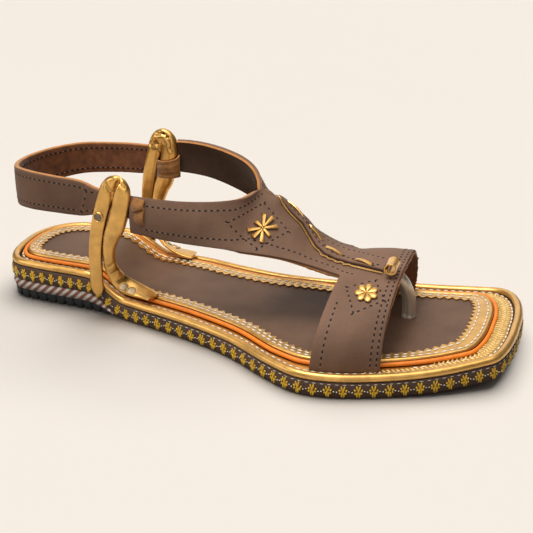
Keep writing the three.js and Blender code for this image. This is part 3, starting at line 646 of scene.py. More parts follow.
def bumped(made, height, depth, strength=1.0, under=None):
    """Bump of depth mm from a height; under is a bump it lies on."""
    inputs = {"Height": height, "Distance": depth * MM, "Strength": strength}
    if under:
        inputs["Normal"] = under
    normal = add(made, "ShaderNodeBump", inputs).outputs["Normal"]
    feed(made, "Normal", normal)
    return normal


# Makers of materials
def leather(name, color, roughness, grain=1.1, depth=0.05):
    """Full-grain leather, drum-dyed and left matt: cloudy dye, pebbled grain and dull highlights."""
    made = blank(name, {"Roughness": roughness, "Specular IOR Level": 0.16})
    clouds, _ = mottle(made, 14, shade(color, 0.72), shade(color, 1.2), detail=7)
    specks, _ = mottle(made, 1.6, shade(color, 0.86), shade(color, 1.1), detail=3)
    # Grain is drawn at about twice its real width so that it shows in the render
    cells = add(made, "ShaderNodeTexVoronoi", {"Vector": coords(made), "Scale": 1 / (grain * MM)})
    pebbles = bumped(made, cells.outputs["Distance"], depth)
    bumped(made, noise(made, 9, 3), depth * 6, 0.5, pebbles)
    return feed(made, "Base Color", blend(made, 0.35, clouds, specks))


def suede(name, dark, light, low=1, high=1, nap=0.9):
    """Flesh side of the hide, buffed to a nap: mottled, dull, with a faint sheen."""
    made = blank(name, {"Roughness": 0.95, "Sheen Weight": 0.25, "Sheen Roughness": 0.5})
    tone, _ = mottle(made, 4, shade(dark, low), shade(light, high), detail=8)
    bumped(made, noise(made, nap, 5), 0.22)
    return feed(made, "Base Color", tone)


HOLLOW_REACH = 2.2


def gold_foil(name, color, roughness=0.34, wrinkle=6.0, depth=0.12, metallic=0.78):
    """Leather under pressed gold foil and thin lacquer: metal colour, satin gloss, fine creases and painted
    shade in its folds and slits.
    """
    made = blank(name, {"Metallic": metallic, "Coat Weight": 0.55, "Coat Roughness": 0.2})
    tone, _ = mottle(made, 7, shade(color, 0.7), shade(color, 1.12), detail=5)
    # Painted shade: the colour darkens towards near black in folds, slits and where other parts stand close,
    # where shade falls
    hollows = add(made, "ShaderNodeAmbientOcclusion", {"Distance": HOLLOW_REACH * MM}, samples=8)
    open_share = {"Value": hollows.outputs["AO"], "From Min": 0.25, "From Max": 0.8}
    unshaded_share = add(made, "ShaderNodeMapRange", open_share)
    creases = noise(made, wrinkle, 4, distortion=0.6)
    dullness = {"Value": creases, "To Min": roughness - 0.08, "To Max": roughness + 0.1}
    feed(made, "Roughness", add(made, "ShaderNodeMapRange", dullness).outputs["Result"])
    bumped(made, creases, depth)
    return feed(made, "Base Color", blend(made, unshaded_share.outputs["Result"], shade(color, 0.1), tone))


def mottled(name, color, patch, low, high, inputs, detail=4, bump=0):
    """Plain stuff, uneven in tone over patches some mm across, which may also stand up as a bump."""
    made = blank(name, inputs)
    tone, patches = mottle(made, patch, shade(color, low), shade(color, high), detail)
    if bump:
        bumped(made, patches, bump)
    return feed(made, "Base Color", tone)


def dyed_thread(name, color, roughness=0.55):
    """Spun thread: dull, slightly uneven in tone, with the twist as a fine ripple."""
    inputs = {"Roughness": roughness, "Sheen Weight": 0.15}
    return mottled(name, color, 1.2, 0.82, 1.12, inputs, detail=2, bump=0.08)


def aged_metal(name, color, roughness):
    """Cast rivet metal, tumbled and aged: dull with small bright rubs."""
    return mottled(name, color, 1.4, 0.7, 1.25, {"Roughness": roughness, "Metallic": 0.85}, bump=0.08)


def painted_hole_shade(name, color):
    """Painted shade inside a stitch hole: a dark, dull colour on a small bead."""
    return mottled(name, color, 2, 0.8, 1.3, {"Roughness": 0.95})


def painted_floor(name, color):
    """Matt painted board under the shoe: even, with the faintest cloudiness."""
    return mottled(name, color, 400, 0.99, 1, {"Roughness": 0.9, "Specular IOR Level": 0.1})


def moulded_rubber(name, color):
    """Moulded sole rubber: near black, dull, lightly pitted and dusty."""
    made = mottled(name, color, 3, 0.8, 1.35, {"Roughness": 0.8}, detail=6)
    bumped(made, noise(made, 0.9, 3), 0.12)
    return made


TWIST = 3


def twisted_cord(name, color):
    """Waxed cord laid in strands: the twist runs round it every few mm."""
    made = mottled(name, color, 5, 0.85, 1.1, {"Roughness": 0.45})
    turned = add(made, "ShaderNodeMapping", {"Vector": coords(made, "UV"), "Scale": (1, 1 / TWIST, 1)})
    strands = add(
        made, "ShaderNodeTexWave", {"Vector": turned.outputs["Vector"], "Scale": 0.32, "Distortion": 0.4},
        bands_direction="DIAGONAL",
    )
    bumped(made, strands.outputs["Fac"], 0.12)
    return made


STRIPE_PITCH = 4.7
STRIPE_SLANT = 1.05


def striped_braid(name, dark, pale):
    """Flat heel band wound from two leather strips: slanting bars, each slightly rounded."""
    made = blank(name, {"Roughness": 0.7})
    split = add(made, "ShaderNodeSeparateXYZ", {"Vector": coords(made, "UV")})
    turns = split.outputs["X"]
    slant = add(made, "ShaderNodeMath", {0: split.outputs["Y"], 1: -STRIPE_SLANT}, operation="MULTIPLY")
    for how, value in (("ADD", slant.outputs[0]), ("DIVIDE", STRIPE_PITCH), ("FRACT", 0)):
        turns = add(made, "ShaderNodeMath", {0: turns, 1: value}, operation=how).outputs[0]
    bars = ramp(made, turns, ((0, dark), (0.47, dark), (0.53, pale), (0.94, pale), (1, dark)))
    white = linear("#FFFFFF")
    dust, patches = mottle(made, 2.2, shade(white, 0.8), white)
    bumped(made, patches, 0.1)
    return feed(made, "Base Color", blend(made, 1.0, bars, dust, "MULTIPLY"))


def streaked_pewter(name, color):
    """Pewter-foiled tube: grey metal sheen in streaks along its length."""
    made = blank(name, {"Roughness": 0.36, "Metallic": 0.7})
    stretch = {"Vector": coords(made, "UV"), "Scale": (22, 1.2, 1)}
    run = add(made, "ShaderNodeMapping", stretch).outputs["Vector"]
    tone, streaks = mottle(made, 1 / MM, shade(color, 0.72), shade(color, 1.2), detail=5, vector=run)
    bumped(made, streaks, 0.15)
    return feed(made, "Base Color", tone)


# Materials by the real stuff they stand for: maker, colours, and settings of the maker
FINISHES = {
    "matt brown leather": (leather, "leather", {"roughness": 0.62}),
    "dark rand leather": (leather, "rand", {"roughness": 0.6}),
    "smooth footbed leather": (leather, "footbed", {"roughness": 0.5, "grain": 1.0, "depth": 0.03}),
    "dark lining leather": (leather, "lining", {"roughness": 0.6, "grain": 1.6, "depth": 0.12}),
    "suede lining": (suede, "suede_dark suede_light", {}),
    "raw cut suede edge": (suede, "raw_edge raw_edge", {"low": 0.7, "nap": 0.7}),
    "tan suede": (suede, "raw_edge raw_edge", {"low": 0.3, "high": 0.85, "nap": 0.6}),
    "gold foil leather": (gold_foil, "gold", {}),
    "padded gold foil leather": (
        gold_foil, "gold", {"roughness": 0.3, "wrinkle": 9, "depth": 0.24, "metallic": 0.92}),
    "waxed orange cord": (twisted_cord, "cord", {}),
    "striped leather braid": (striped_braid, "stripe_dark stripe_pale", {}),
    "moulded rubber": (moulded_rubber, "rubber", {}),
    "streaked pewter foil": (streaked_pewter, "pewter", {}),
    "yellow silk thread": (dyed_thread, "embroidery", {"roughness": 0.42}),
    "gold silk thread": (dyed_thread, "hatch", {"roughness": 0.3}),
    "white linen thread": (dyed_thread, "white_thread", {}),
    "tan waxed thread": (dyed_thread, "tan_thread", {}),
    "needle holes": (painted_hole_shade, "hole", {}),
    "aged rivet metal": (aged_metal, "rivet", {"roughness": 0.42}),
    "pale rivet metal": (aged_metal, "foot_rivet", {"roughness": 0.5}),
    "painted studio floor": (painted_floor, "floor", {}),
}
BROWN = "matt brown leather"
GOLD = "gold foil leather"
CUT_EDGE = "raw cut suede edge"
LINING = "suede lining"
WHITE_THREAD = "white linen thread"


@cache
def finish(name):
    """Material by name, made on first use."""
    maker, dyes, settings = FINISHES[name]
    colours = bpy.context.scene.chappal_colours
    return maker(name, *(getattr(colours, dye) for dye in dyes.split()), **settings)


def size(name):
    """One of the panel's sizes, in mm."""
    return getattr(bpy.context.scene.chappal_sizes, name) / MM


def colour(name, label, code):
    return FloatVectorProperty(
        name=name, description=label, default=linear(code), size=4, min=0, max=1, subtype="COLOR")


def length(name, label, value):
    return FloatProperty(name=name, description=label, default=value * MM, min=0, unit="LENGTH")


class ChappalColours(bpy.types.PropertyGroup):
    leather: colour("Leather", "Brown leather of the straps", "#7A5E4D")
    rand: colour("Rand", "Dark leather of the sole's edge", "#5F4B40")
    footbed: colour("Footbed", "Brown leather of the insole", "#6A5141")
    lining: colour("Lining", "Dark leather lining of the quarter straps", "#4A382D")
    suede_dark: colour("Suede shade", "Darker tone of the suede lining", "#58321A")
    suede_light: colour("Suede", "Lighter tone of the suede lining", "#8C5630")
    raw_edge: colour("Cut edge", "Tan cut edge of the straps", "#C48443")
    gold: colour("Gold", "Gold foil of the piping, binding and loops", "#E0AC58")
    cord: colour("Cord", "Orange cord round the footbed", "#F2861E")
    stripe_dark: colour("Stripe", "Dark stripe of the heel band", "#8A5A48")
    stripe_pale: colour("Pale stripe", "Pale stripe of the heel band", "#D8D0C8")
    rubber: colour("Rubber", "Lugged heel rubber", "#2B2E30")
    pewter: colour("Pewter", "Toe post", "#D2C8B8")
    embroidery: colour("Embroidery", "Yellow thread on the sole's edge", "#F0BE2A")
    hatch: colour("Toe embroidery", "Gold thread round the toe", "#F6D784")
    white_thread: colour("White thread", "Stitching on the gold", "#F4EEE2")
    tan_thread: colour("Tan thread", "Stitching on the leather", "#8E7260")
    # Painted shade: the dark of the stitch holes and lace slits
    hole: colour("Stitch hole", "Needle holes in the leather", "#1C1512")
    rivet: colour("Rivet", "Aged rivet on the loop", "#7E7060")
    foot_rivet: colour("Foot rivet", "Pale rivets on the loop's foot", "#B9A383")
    floor: colour("Floor", "Floor under the shoe", "#F4EFE9")


class ChappalSizes(bpy.types.PropertyGroup):
    piping_wide: length("Piping width", "Width of the domed gold strip on the rim", 4.2)
    piping_high: length("Piping height", "Height of the domed gold strip on the rim", 3.4)
    cord: length("Cord radius", "Radius of the orange cord", 1.08)
    binding: length("Binding width", "Width of the gold binding before its pinked edge", 5.4)
    pink_pitch: length("Pinking pitch", "Length of one point of the pinked edge", 4.5)
    pink_depth: length("Pinking depth", "Depth of one point of the pinked edge", 2.0)
    motif_pitch: length("Motif pitch", "Distance between embroidered motifs", 7.2)
    stitch_pitch: length("Stitch pitch", "Distance between stitches on the straps", 2.9)
    lug_pitch: length("Lug pitch", "Distance between lugs of the heel rubber", 5.6)


# Sole
PIPING_SECTION = (
    (0.16, 0), (1, 0), (1, 0.62), (0.93, 0.77), (0.82, 0.89), (0.66, 0.97), (0.48, 1), (0.32, 0.95),
    (0.18, 0.83), (0.08, 0.67), (0.02, 0.48), (0, 0.29), (0.05, 0.11),
)
PIPING_STEPS = 360
CORD_STEPS = 320
CORD_SIDES = 12
BINDING_ROLL = (
    (0.1, -1.5), (-0.35, -1.3), (-0.5, -0.7), (-0.5, 0.2), (-0.1, 0.95), (0.65, 1.25),
    (1.35, 1.05), (1.8, 0.7),
)
BINDING_STRIP = ((0.4, 0.65), (0.75, 0.7), (1, 0.6), (1, 0.05))
BINDING_INSIDE = (0.5, 0.05)
BINDING_SINK = 0.1
PINKED_FROM = len(BINDING_ROLL) + 2
STEPS_PER_POINT = 4
MEASURING_STEPS = 300
BINDING_WIDER = 3.0
BINDING_WIDENS = (236, 262)


def build_sole():
    for name, node, stuff, slot, distance, inner, bottom, top, corner, count in (
        ("leather_rand", "outsole", "dark rand leather", "brown_leather",
         0, False, sole_base, rand_top, 1.1, 320),
        ("gold_topsole", "topsole", GOLD, "gold_leather",
         TOPSOLE_INSET, False, topsole_foot, topsole_top, 0.5, 300),
        ("leather_insole", "insole", "smooth footbed leather", "brown_leather",
         INSOLE_INSET, True, insole_foot, insole_top, 0.5, 280),
    ):
        finished(slab(distance, inner, bottom, top, corner, count), name, [stuff], [node], slot)


def build_edges():
    wide, high, radius = size("piping_wide"), size("piping_high"), size("cord")
    section = [(across * wide, up * high) for across, up in PIPING_SECTION]
    piping = ring(outline(0, False, PIPING_STEPS), section, topsole_foot)
    finished(piping, "gold_piping", [GOLD], ["edge_piping"], "gold_leather")
    rails = outline(CORD_INSET, True, CORD_STEPS)
    cord = ring(rails, circle(radius, CORD_SIDES), lambda x: insole_foot(x) + radius)
    finished(cord, "orange_cord", ["waxed orange cord"], ["edge_cord"], "orange_cord")
    build_binding()


def binding_rails():
    run = run_end(outline(INSOLE_INSET, True, MEASURING_STEPS))
    return outline(INSOLE_INSET, True, round(run / size("pink_pitch")) * STEPS_PER_POINT)


def binding_wide(x):
    """Width of the binding before its points; it widens round the toe."""
    return size("binding") + BINDING_WIDER * smoothstep(x, *BINDING_WIDENS)


def build_binding():
    """Gold binding on the footbed: rolled outer edge, flat strip, pinked inner edge."""
    depth = size("pink_depth")
    section = (*BINDING_ROLL, *BINDING_STRIP, BINDING_INSIDE)
    rails = binding_rails()

    def lift(i, j, across, up):
        if not len(BINDING_ROLL) <= i < len(section) - 1:
            return across, up
        across *= binding_wide(rails[j].x)
        if i < PINKED_FROM:
            return across, up
        half = STEPS_PER_POINT / 2
        return across + depth * (1 - abs(j % STEPS_PER_POINT - half) / half), up

    bm = ring(rails, section, lambda x: insole_top(x) + SEAM - BINDING_SINK, lift)
    finished(bm, "gold_binding", [GOLD], ["insole_binding"], "gold_leather")


EDGE_LINE_STEPS = 360
SOLE_STITCH = (2.6, 0.8, 0.55)
SOLE_STITCH_PITCH = 3.9
SOLE_STITCH_RISE = 0.12
BINDING_ROWS = (2.3, 0.82)
BINDING_ROW_RISE = 0.75
TOPSOLE_ROW = 5.3
CORD_ROW = 8.3
CORD_ROW_FROM = 236
HATCH_FROM = 214
HATCH_FILLS = (HATCH_FROM + 20, LENGTH - 10)
HATCH_PITCH = 2.3
HATCH_STEP = 2.1
HATCH_IN = 0.9
HATCH_RISE = 0.15
HATCH_LEAN = 0.75
HATCH_STITCH = (2.6, 1.0, 0.85)
HATCH_UNEVEN = (0.6, 1.1)


def edge_line(distance, inner, height, start=0):
    """Line of (place, up) pairs round the sole, closed, or only its stretch ahead of the start."""
    rails = [rail for rail in outline(distance, inner, EDGE_LINE_STEPS) if rail.x >= start]
    line = [(beside(rail, 0, height(rail.x)), UP) for rail in rails]
    return line if start else line + line[:1]


def binding_row(place):
    """Stitch row on the binding: place is mm from its roll, or below 1 a share of its width."""
    line = []
    for rail in binding_rails():
        across = place if place > 1 else place * binding_wide(rail.x)
        line.append((beside(rail, across, insole_top(rail.x) + SEAM + BINDING_ROW_RISE), UP))
    return line + line[:1]


def build_sole_stitching():
    def row_height(x):
        return topsole_top(x) + SOLE_STITCH_RISE

    bm = bmesh.new()
    rows = [edge_line(TOPSOLE_ROW, False, row_height), edge_line(CORD_ROW, True, row_height, CORD_ROW_FROM)]
    for line in rows + [binding_row(place) for place in BINDING_ROWS]:
        for place, along, up in spaced(line, SOLE_STITCH_PITCH):
            thread(bm, place, along, up, SOLE_STITCH)
    finished(bm, "white_sole_stitching", [WHITE_THREAD])

    # Gold herringbone worked on the strip round the toe, between the stitch row and the cord
    bm = bmesh.new()
    rng = random.Random(5)
    run = run_end(outline(TOPSOLE_ROW, False, MEASURING_STEPS))
    long, wide, high = HATCH_STITCH
    for rail in outline(TOPSOLE_ROW + HATCH_IN, False, round(run / HATCH_PITCH)):
        if rail.x < HATCH_FROM:
            continue
        inward = Vector((rail.inx, rail.iny, 0))
        along = Vector((rail.iny, -rail.inx, 0))
        for k in range(1 + round(2 * smoothstep(rail.x, *HATCH_FILLS))):
            heading = (inward + along * HATCH_LEAN * (1 if k % 2 else -1)).normalized()
            spot = beside(rail, HATCH_IN + HATCH_STEP * k, topsole_top(rail.x) + HATCH_RISE)
            thread(bm, spot, heading, UP, (long, wide * rng.uniform(*HATCH_UNEVEN), high))
    finished(bm, "gold_toe_herringbone", ["gold silk thread"])


# Threads of one motif: shift along the edge, rise, length and lean
MOTIF = (
    (-0.62, 1.75, 3.3, -0.12), (0.62, 1.8, 3.3, 0.12), (-0.56, -1.6, 3.3, -0.05), (0.56, -1.65, 3.3, 0.05),
    (-1.6, 0.62, 1.7, -0.45), (1.6, 0.62, 1.7, 0.45), (-1.5, -0.7, 1.5, 0.3), (1.5, -0.7, 1.5, -0.3),
    (0.0, 0.1, 3.2, 0.0),
)
MOTIF_MIDDLE = 0.46
MOTIF_CLOSER = 0.74
MOTIF_SPREADS = (62, 96)
MOTIF_STEPS = 1400
MOTIF_THREAD = (1.0, 0.85)
MOTIF_OUT = 0.15
UNEVEN_SHIFT = 0.12
UNEVEN_RISE = 0.15
UNEVEN_LEAN = 0.06
UNEVEN_LONG = (0.9, 1.08)
KNOT = (0.8, 0.65, 0.5)
KNOT_SHIFTS = (-0.75, 0.75)
KNOT_RISES = (-0.5, 0.4)
KNOT_OUT = 0.1
PIPING_STITCH = (1.9, 0.28, 0.26)
PIPING_STITCH_FROM = 84
PIPING_STITCH_PITCH = 3.6
PIPING_STITCH_DOWN = 0.85
PIPING_STITCH_IN = 0.1


def motif_stops():
    """Rails under the motifs, which stand closer together round the heel."""
    goal = 0
    for rail in outline(0, False, MOTIF_STEPS):
        if rail.run < goal:
            continue
        closeness = lerp(MOTIF_CLOSER, 1, smoothstep(rail.x, *MOTIF_SPREADS))
        goal = rail.run + size("motif_pitch") * closeness
        yield rail, closeness


def build_embroidery():
    """Motifs of upright and leaning threads round the sole's edge, with white knots between them."""
    rng = random.Random(7)
    bars, knots = bmesh.new(), bmesh.new()
    for rail, closeness in motif_stops():
        flat = Vector((rail.iny, -rail.inx, 0))
        climb = sole_base(rail.x + flat.x * SLOPE_STEP) - sole_base(rail.x - flat.x * SLOPE_STEP)
        along = (flat + UP * climb / (2 * SLOPE_STEP)).normalized()
        out = Vector((-rail.inx, -rail.iny, 0))
        upright = along.cross(out).normalized()
        if upright.z < 0:
            upright = -upright
        centre = beside(rail, 0, sole_base(rail.x) + RAND_HEIGHT * MOTIF_MIDDLE)
        for shift, rise, long, lean in MOTIF:
            shift = shift * closeness + rng.uniform(-UNEVEN_SHIFT, UNEVEN_SHIFT)
            rise += rng.uniform(-UNEVEN_RISE, UNEVEN_RISE)
            way = (upright + along * (lean + rng.uniform(-UNEVEN_LEAN, UNEVEN_LEAN))).normalized()
            spot = centre + along * shift + upright * rise + out * MOTIF_OUT
            thread(bars, spot, way, out, (long * rng.uniform(*UNEVEN_LONG), *MOTIF_THREAD))
        for shift in KNOT_SHIFTS:
            shift = (size("motif_pitch") / 2 + shift) * closeness
            spot = centre + along * shift + upright * rng.uniform(*KNOT_RISES) + out * KNOT_OUT
            thread(knots, spot, along, out, KNOT)
    row = edge_line(PIPING_STITCH_IN, False, lambda x: rand_top(x) - PIPING_STITCH_DOWN, PIPING_STITCH_FROM)
    for place, along, _ in spaced(row, PIPING_STITCH_PITCH):
        thread(knots, place, along, Vector((along.y, -along.x, 0)).normalized(), PIPING_STITCH)
    finished(bars, "yellow_edge_embroidery", ["yellow silk thread"])
    finished(knots, "white_edge_knots", [WHITE_THREAD])


# Heel pad
HEEL_PAD_END = 70
TREAD_SHARE = 0.5
BAND_IN = 0.2
BAND_RAILS = 420
BAND_SECTION = ((7, 0), (0.3, 0), (0, 0.15), (-0.5, 0.5), (0, 0.85), (0.3, 1), (7, 1))
BAND_CLEAR = {"below": 0.1, "above": 0.25, "least": 0.12}
TREAD_FROM = 1.3
TREAD_TO = HEEL_PAD_END - 2
TREAD_IN = 0.7
TREAD_STEPS_PER_LUG = 14
TREAD_CORNER = 0.9
TREAD_SIDES = 6
LUG_DEPTH = 1.7
LUG_FLANK = (0.28, 0.47)


def heel_rails(inset, count):
    """Rails round the heel alone, from the medial waist to the lateral waist."""
    heel = [rail for rail in outline(inset, False, count) if rail.x < HEEL_PAD_END]
    return [rail for rail in heel if rail.y >= AXIS_Y] + [rail for rail in heel if rail.y < AXIS_Y]


def build_heel_pad():
    rails = heel_rails(BAND_IN, BAND_RAILS)
    runs = [0]
    for before, after in zip(rails, rails[1:]):
        runs.append(runs[-1] + math.hypot(after.x - before.x, after.y - before.y))
    sides = len(BAND_SECTION)

    def height(x, level):
        low = sole_base(x) * TREAD_SHARE + BAND_CLEAR["below"]
        return lerp(low, max(sole_base(x) - BAND_CLEAR["above"], low + BAND_CLEAR["least"]), level)

    def place(i, j):
        across, level = BAND_SECTION[i % sides]
        return beside(rails[j], across, height(rails[j].x, level))

    def uv(i, j):
        return runs[j], height(rails[j].x, BAND_SECTION[i % sides][1])

    bm = lofted(sides, len(rails) - 1, place, uv)
    finished(bm, "striped_heel_band", ["striped leather braid"], ["heel_band"], "striped_band")
    build_tread()


def build_tread():
    pitch = size("lug_pitch")
    steps = round((TREAD_TO - TREAD_FROM) / (pitch / TREAD_STEPS_PER_LUG))

    def place(i, j):
        x = lerp(TREAD_FROM, TREAD_TO, j / steps)
        top = sole_base(x) * TREAD_SHARE - BAND_CLEAR["below"]
        groove = smoothstep(abs((x / pitch) % 1 - 0.5), *LUG_FLANK)
        low = min(groove * LUG_DEPTH, top * 0.5)
        inset = TREAD_IN * (1 + groove)
        corner = min(TREAD_CORNER, top * 0.3)
        lateral, medial = (side_y(side, x, inset) for side in SIDES)
        around = (
            (lateral + corner, low), (lateral, low + corner), (lateral, top),
            (medial, top), (medial, low + corner), (medial - corner, low),
        )
        return x, *around[i % TREAD_SIDES]

    bm = lofted(TREAD_SIDES, steps, place)
    finished(bm, "rubber_heel_tread", ["moulded rubber"], ["heel_tread"], "rubber")


# Upper
FOOT_STEPS = 26
RISE_STEPS = 16
BAND_STEPS = 18
QUARTER_STEPS = 44
RIDGE_STEPS = 34
RIDGE_GAP = 1.5
# Stretches of the straps drawn smooth over the last: from x, to x, above z, rounds
SMOOTHED = ((178, 199, 38, 6), (124, 164, 40, 80))
LEATHER_LAYER = 1.3
RAGGED = (0.15, 0.75)
RAGGED_ABOVE = 18
RAGGED_AHEAD = 176
# Outside, inside and cut edge of the lining, on the ball strap and then on the instep and quarters
LINING_FINISHES = (LINING, LINING, CUT_EDGE, LINING, "dark lining leather", CUT_EDGE)
QUARTER_INDEX = 3


def band_places():
    turns = [around_at(sign * read(INSTEP[side], "low_out", BAND_BACK, "x")) for side, sign in SIDES.items()]
    corners = [0, turns[0], CROWN_ROUND, turns[1], 1]
    places = []
    for low, high, count in zip(corners, corners[1:], (FOOT_STEPS, RISE_STEPS, RISE_STEPS, FOOT_STEPS)):
        places += [lerp(low, high, share) for share in shares(count)[:-1]]
    return places + [1]


def upper_surface():
    """Outer face of the straps in one sheet, with the band's faces first in material order."""
    bm = bmesh.new()
    around = band_places()
    sheet(bm, len(around) - 1, BAND_STEPS, lambda i, j: band_point(
        lerp(BAND_BACK, BAND_FRONT, j / BAND_STEPS), around[i]))
    ridge = FOOT_STEPS + RISE_STEPS
    for side, toward in SIDES.items():
        places = [lerp(STRAP_END[side], THROAT_X, math.sin(math.pi / 2 * share))
                  for share in shares(QUARTER_STEPS)[:-1]]
        places += [lerp(THROAT_X, BAND_BACK - RIDGE_GAP, share) for share in shares(RIDGE_STEPS)]

        def place(i, j):
            if j == len(places):
                return band_point(BAND_BACK, around[ridge + toward * (RISE_STEPS - i)])
            return instep_point(side, places[j], i / RISE_STEPS)

        _, faces = sheet(bm, RISE_STEPS, len(places), place)
        for face in faces:
            face.material_index = QUARTER_INDEX
    weld(bm, close=False)
    face_up(bm)
    for back, front, above, rounds in SMOOTHED:
        soft = [vert for vert in bm.verts
                if not vert.is_boundary and back < home(vert.co).x < front and home(vert.co).z > above]
        for _ in range(rounds):
            bmesh.ops.smooth_vert(
                bm, verts=soft, factor=0.5, use_axis_x=True, use_axis_y=True, use_axis_z=True)
    bm.normal_update()
    return bm


@cache
def upper_tree():
    bm = upper_surface()
    tree = BVHTree.FromBMesh(bm)
    bm.free()
    return tree


def on_upper(place):
    """Nearest place on the straps' outer face, with the direction out of it."""
    spot, normal, _, _ = upper_tree().find_nearest(at(place))
    return home(spot), normal


def laid(line, count):
    """Line of places laid on the straps, as (place, up) pairs."""
    return [on_upper(place) for place in even_points([Vector(p) for p in line], count, open_line=True)]


def ragged(bm):
    """Lets the cut edge of the lining stand out unevenly from under the leather."""
    rng = random.Random(3)
    moves = {}
    for vert in bm.verts:
        spot = home(vert.co)
        if not vert.is_boundary or spot.z < RAGGED_ABOVE or spot.x < RAGGED_AHEAD:
            continue
        faces = [face.calc_center_median() for face in vert.link_faces]
        away = vert.co - sum(faces, Vector()) / len(faces)
        away -= vert.normal * away.dot(vert.normal)
        moves[vert] = away.normalized() * rng.uniform(*RAGGED) * MM
    for vert, move in moves.items():
        vert.co += move


def build_upper():
    bm = upper_surface()
    for face in bm.faces:
        face.material_index = 0
    piece = finished(bm, "leather_straps", [BROWN], ["upper"], "brown_leather", closed=False)
    wall(piece, LEATHER_LAYER, 0.7)

    # Lining under the leather, its tan cut edge showing as a thin uneven line
    bm = upper_surface()
    for vert in bm.verts:
        vert.co -= vert.normal * LEATHER_LAYER * MM
    ragged(bm)
    lining = finished(bm, "strap_lining", LINING_FINISHES, closed=False)
    wall(lining, STRAP_WALL - LEATHER_LAYER, 0.2, inner=1, rim=2, even=False)
    build_fringe()


FRINGE_STEP = 0.8
FRINGE_LINE = 60
FIBRE_AHEAD = 0.4
FIBRE_DEEP = (1.6, 2.6)
FIBRE_OUT = (-0.1, 0.35)
FIBRE_FAT = (0.35, 0.7)
FIBRE_LONG = (0.8, 1.8)
# Fringed edges of the ball strap: x, from and to round the strap, and how thickly
FRINGE_EDGES = ((BAND_BACK, 0.0, 0.34, 1.0), (BAND_BACK, 0.78, 1.0, 0.6), (BAND_FRONT, 0.0, 1.0, 0.5))


def build_fringe():
    """Loose suede fibres along the cut edges of the ball strap."""
    rng = random.Random(11)
    bm = bmesh.new()
    for x, low, high, thickness in FRINGE_EDGES:
        way = -1 if x == BAND_BACK else 1
        line = [band_point(x, lerp(low, high, share)) for share in shares(FRINGE_LINE)]
        for stop in even_points(line, round(line_length(line) / FRINGE_STEP), open_line=True):
            spot, normal = on_upper(stop)
            if rng.random() > thickness:
                continue
            side = Vector((way, 0, 0)) - normal * normal.x * way
            heading = [rng.uniform(-reach, reach) for reach in (FIBRE_AHEAD, 1, 1)]
            root = spot - normal * rng.uniform(*FIBRE_DEEP) + side * rng.uniform(*FIBRE_OUT)
            fat = rng.uniform(*FIBRE_FAT)
            shape = (rng.uniform(*FIBRE_LONG), fat, fat)
            thread(bm, root, Vector(heading).normalized(), normal.orthogonal(), shape)
    finished(bm, "ball_strap_fringe", [CUT_EDGE])


# Stitching on the straps
HOLE_SIZE = (1.75, 1.05, 0.5)
HOLE_SINK = 0.08
THREAD_SIZE = (0.9, 0.42, 0.36)
THREAD_SINK = 0.05
STITCH_APART = 0.25
ROW_STEPS = 120
FIGURE_STEPS = 20
ROW_START = 9
# Stitch rows of a quarter strap, as x and share of its height, and the lower row's end on the ball strap
UPPER_ROW = 1 - 4.2 / 21
UPPER_ROW_TO = 128
UPPER_ROW_STEP = 4
UPPER_ROW_BEND = ((132, 0.8), (136, 0.79), (139, 0.79), (142, 0.82), (144.5, 0.88))
LOWER_ROW = 0.19
LOWER_ROW_TO = 165
LOWER_ROW_STEP = 5
LOWER_ROW_BEND = ((170, 0.22), (176, 0.22), (182, 0.22), (187, 0.22))
LOWER_ROW_IN = 5.6
LOWER_ROW_OUT = 20
# Rows across the ball strap: distance from its back edge, from and to round the strap
BAND_ROWS = ((5.2, 0.02, 0.30), (5.2, 0.79, 0.98), (27.6, 0.02, 0.98), (30.4, 0.02, 0.98))
BAND_ROW_STEPS = 40
DIAMOND = ((136.5, -27.4, 64.8), (147.2, -4.9, 68.1), (162.1, -9.3, 56.7), (151.7, -26.0, 52.5))
KITE = ((210.9, -24.0, 44.2), (218.6, -34.4, 39.9), (206.2, -44.0, 35.3), (198.7, -30.7, 41.3))


def strap_edge_rows():
    """Stitch rows along the quarter straps, round the throat and across the ball strap."""
    rows = []
    for side, sign in SIDES.items():
        start = STRAP_END[side] + ROW_START
        upper_row = [(x, UPPER_ROW) for x in range(start, UPPER_ROW_TO, UPPER_ROW_STEP)]
        upper_row += UPPER_ROW_BEND
        lower_row = [(x, LOWER_ROW) for x in range(start, LOWER_ROW_TO, LOWER_ROW_STEP)]
        lower_row += LOWER_ROW_BEND
        end = band_point(BAND_BACK + LOWER_ROW_IN, around_at(sign * LOWER_ROW_OUT))
        for row, more in ((upper_row, []), (lower_row, [end])):
            rows.append(laid([instep_point(side, x, rise) for x, rise in row] + more, ROW_STEPS))
    for inset, low, high in BAND_ROWS:
        line = [band_point(BAND_BACK + inset, lerp(low, high, share)) for share in shares(BAND_ROW_STEPS)]
        rows.append(laid(line, ROW_STEPS))
    return rows


def mirrored(place):
    return place[0], 2 * BAND_PEAK_Y - place[1], place[2]


def figure_rows():
    """Stitched diamond round each star and kite round each flower."""
    rows = []
    for corners in (DIAMOND, KITE):
        for turn in (tuple, mirrored):
            ends = [turn(corner) for corner in corners]
            rows += [laid(pair, FIGURE_STEPS) for pair in zip(ends, ends[1:] + ends[:1])]
    return rows


def build_strap_stitching():
    holes, threads = bmesh.new(), bmesh.new()
    pitch = size("stitch_pitch")
    for row in strap_edge_rows() + figure_rows() + heel_strap_rows() + overlay_rows():
        for place, along, up in spaced(row, pitch):
            apart = along * pitch * STITCH_APART
            # Painted shade: a dark dash for each stitch's needle hole, beside its thread
            thread(holes, place + apart - up * HOLE_SINK, along, up, HOLE_SIZE)
            thread(threads, place - apart - up * THREAD_SINK, along, up, THREAD_SIZE)
    lace_slits(holes)
    finished(holes, "strap_stitch_holes", ["needle holes"])
    finished(threads, "strap_stitches", ["tan waxed thread"])


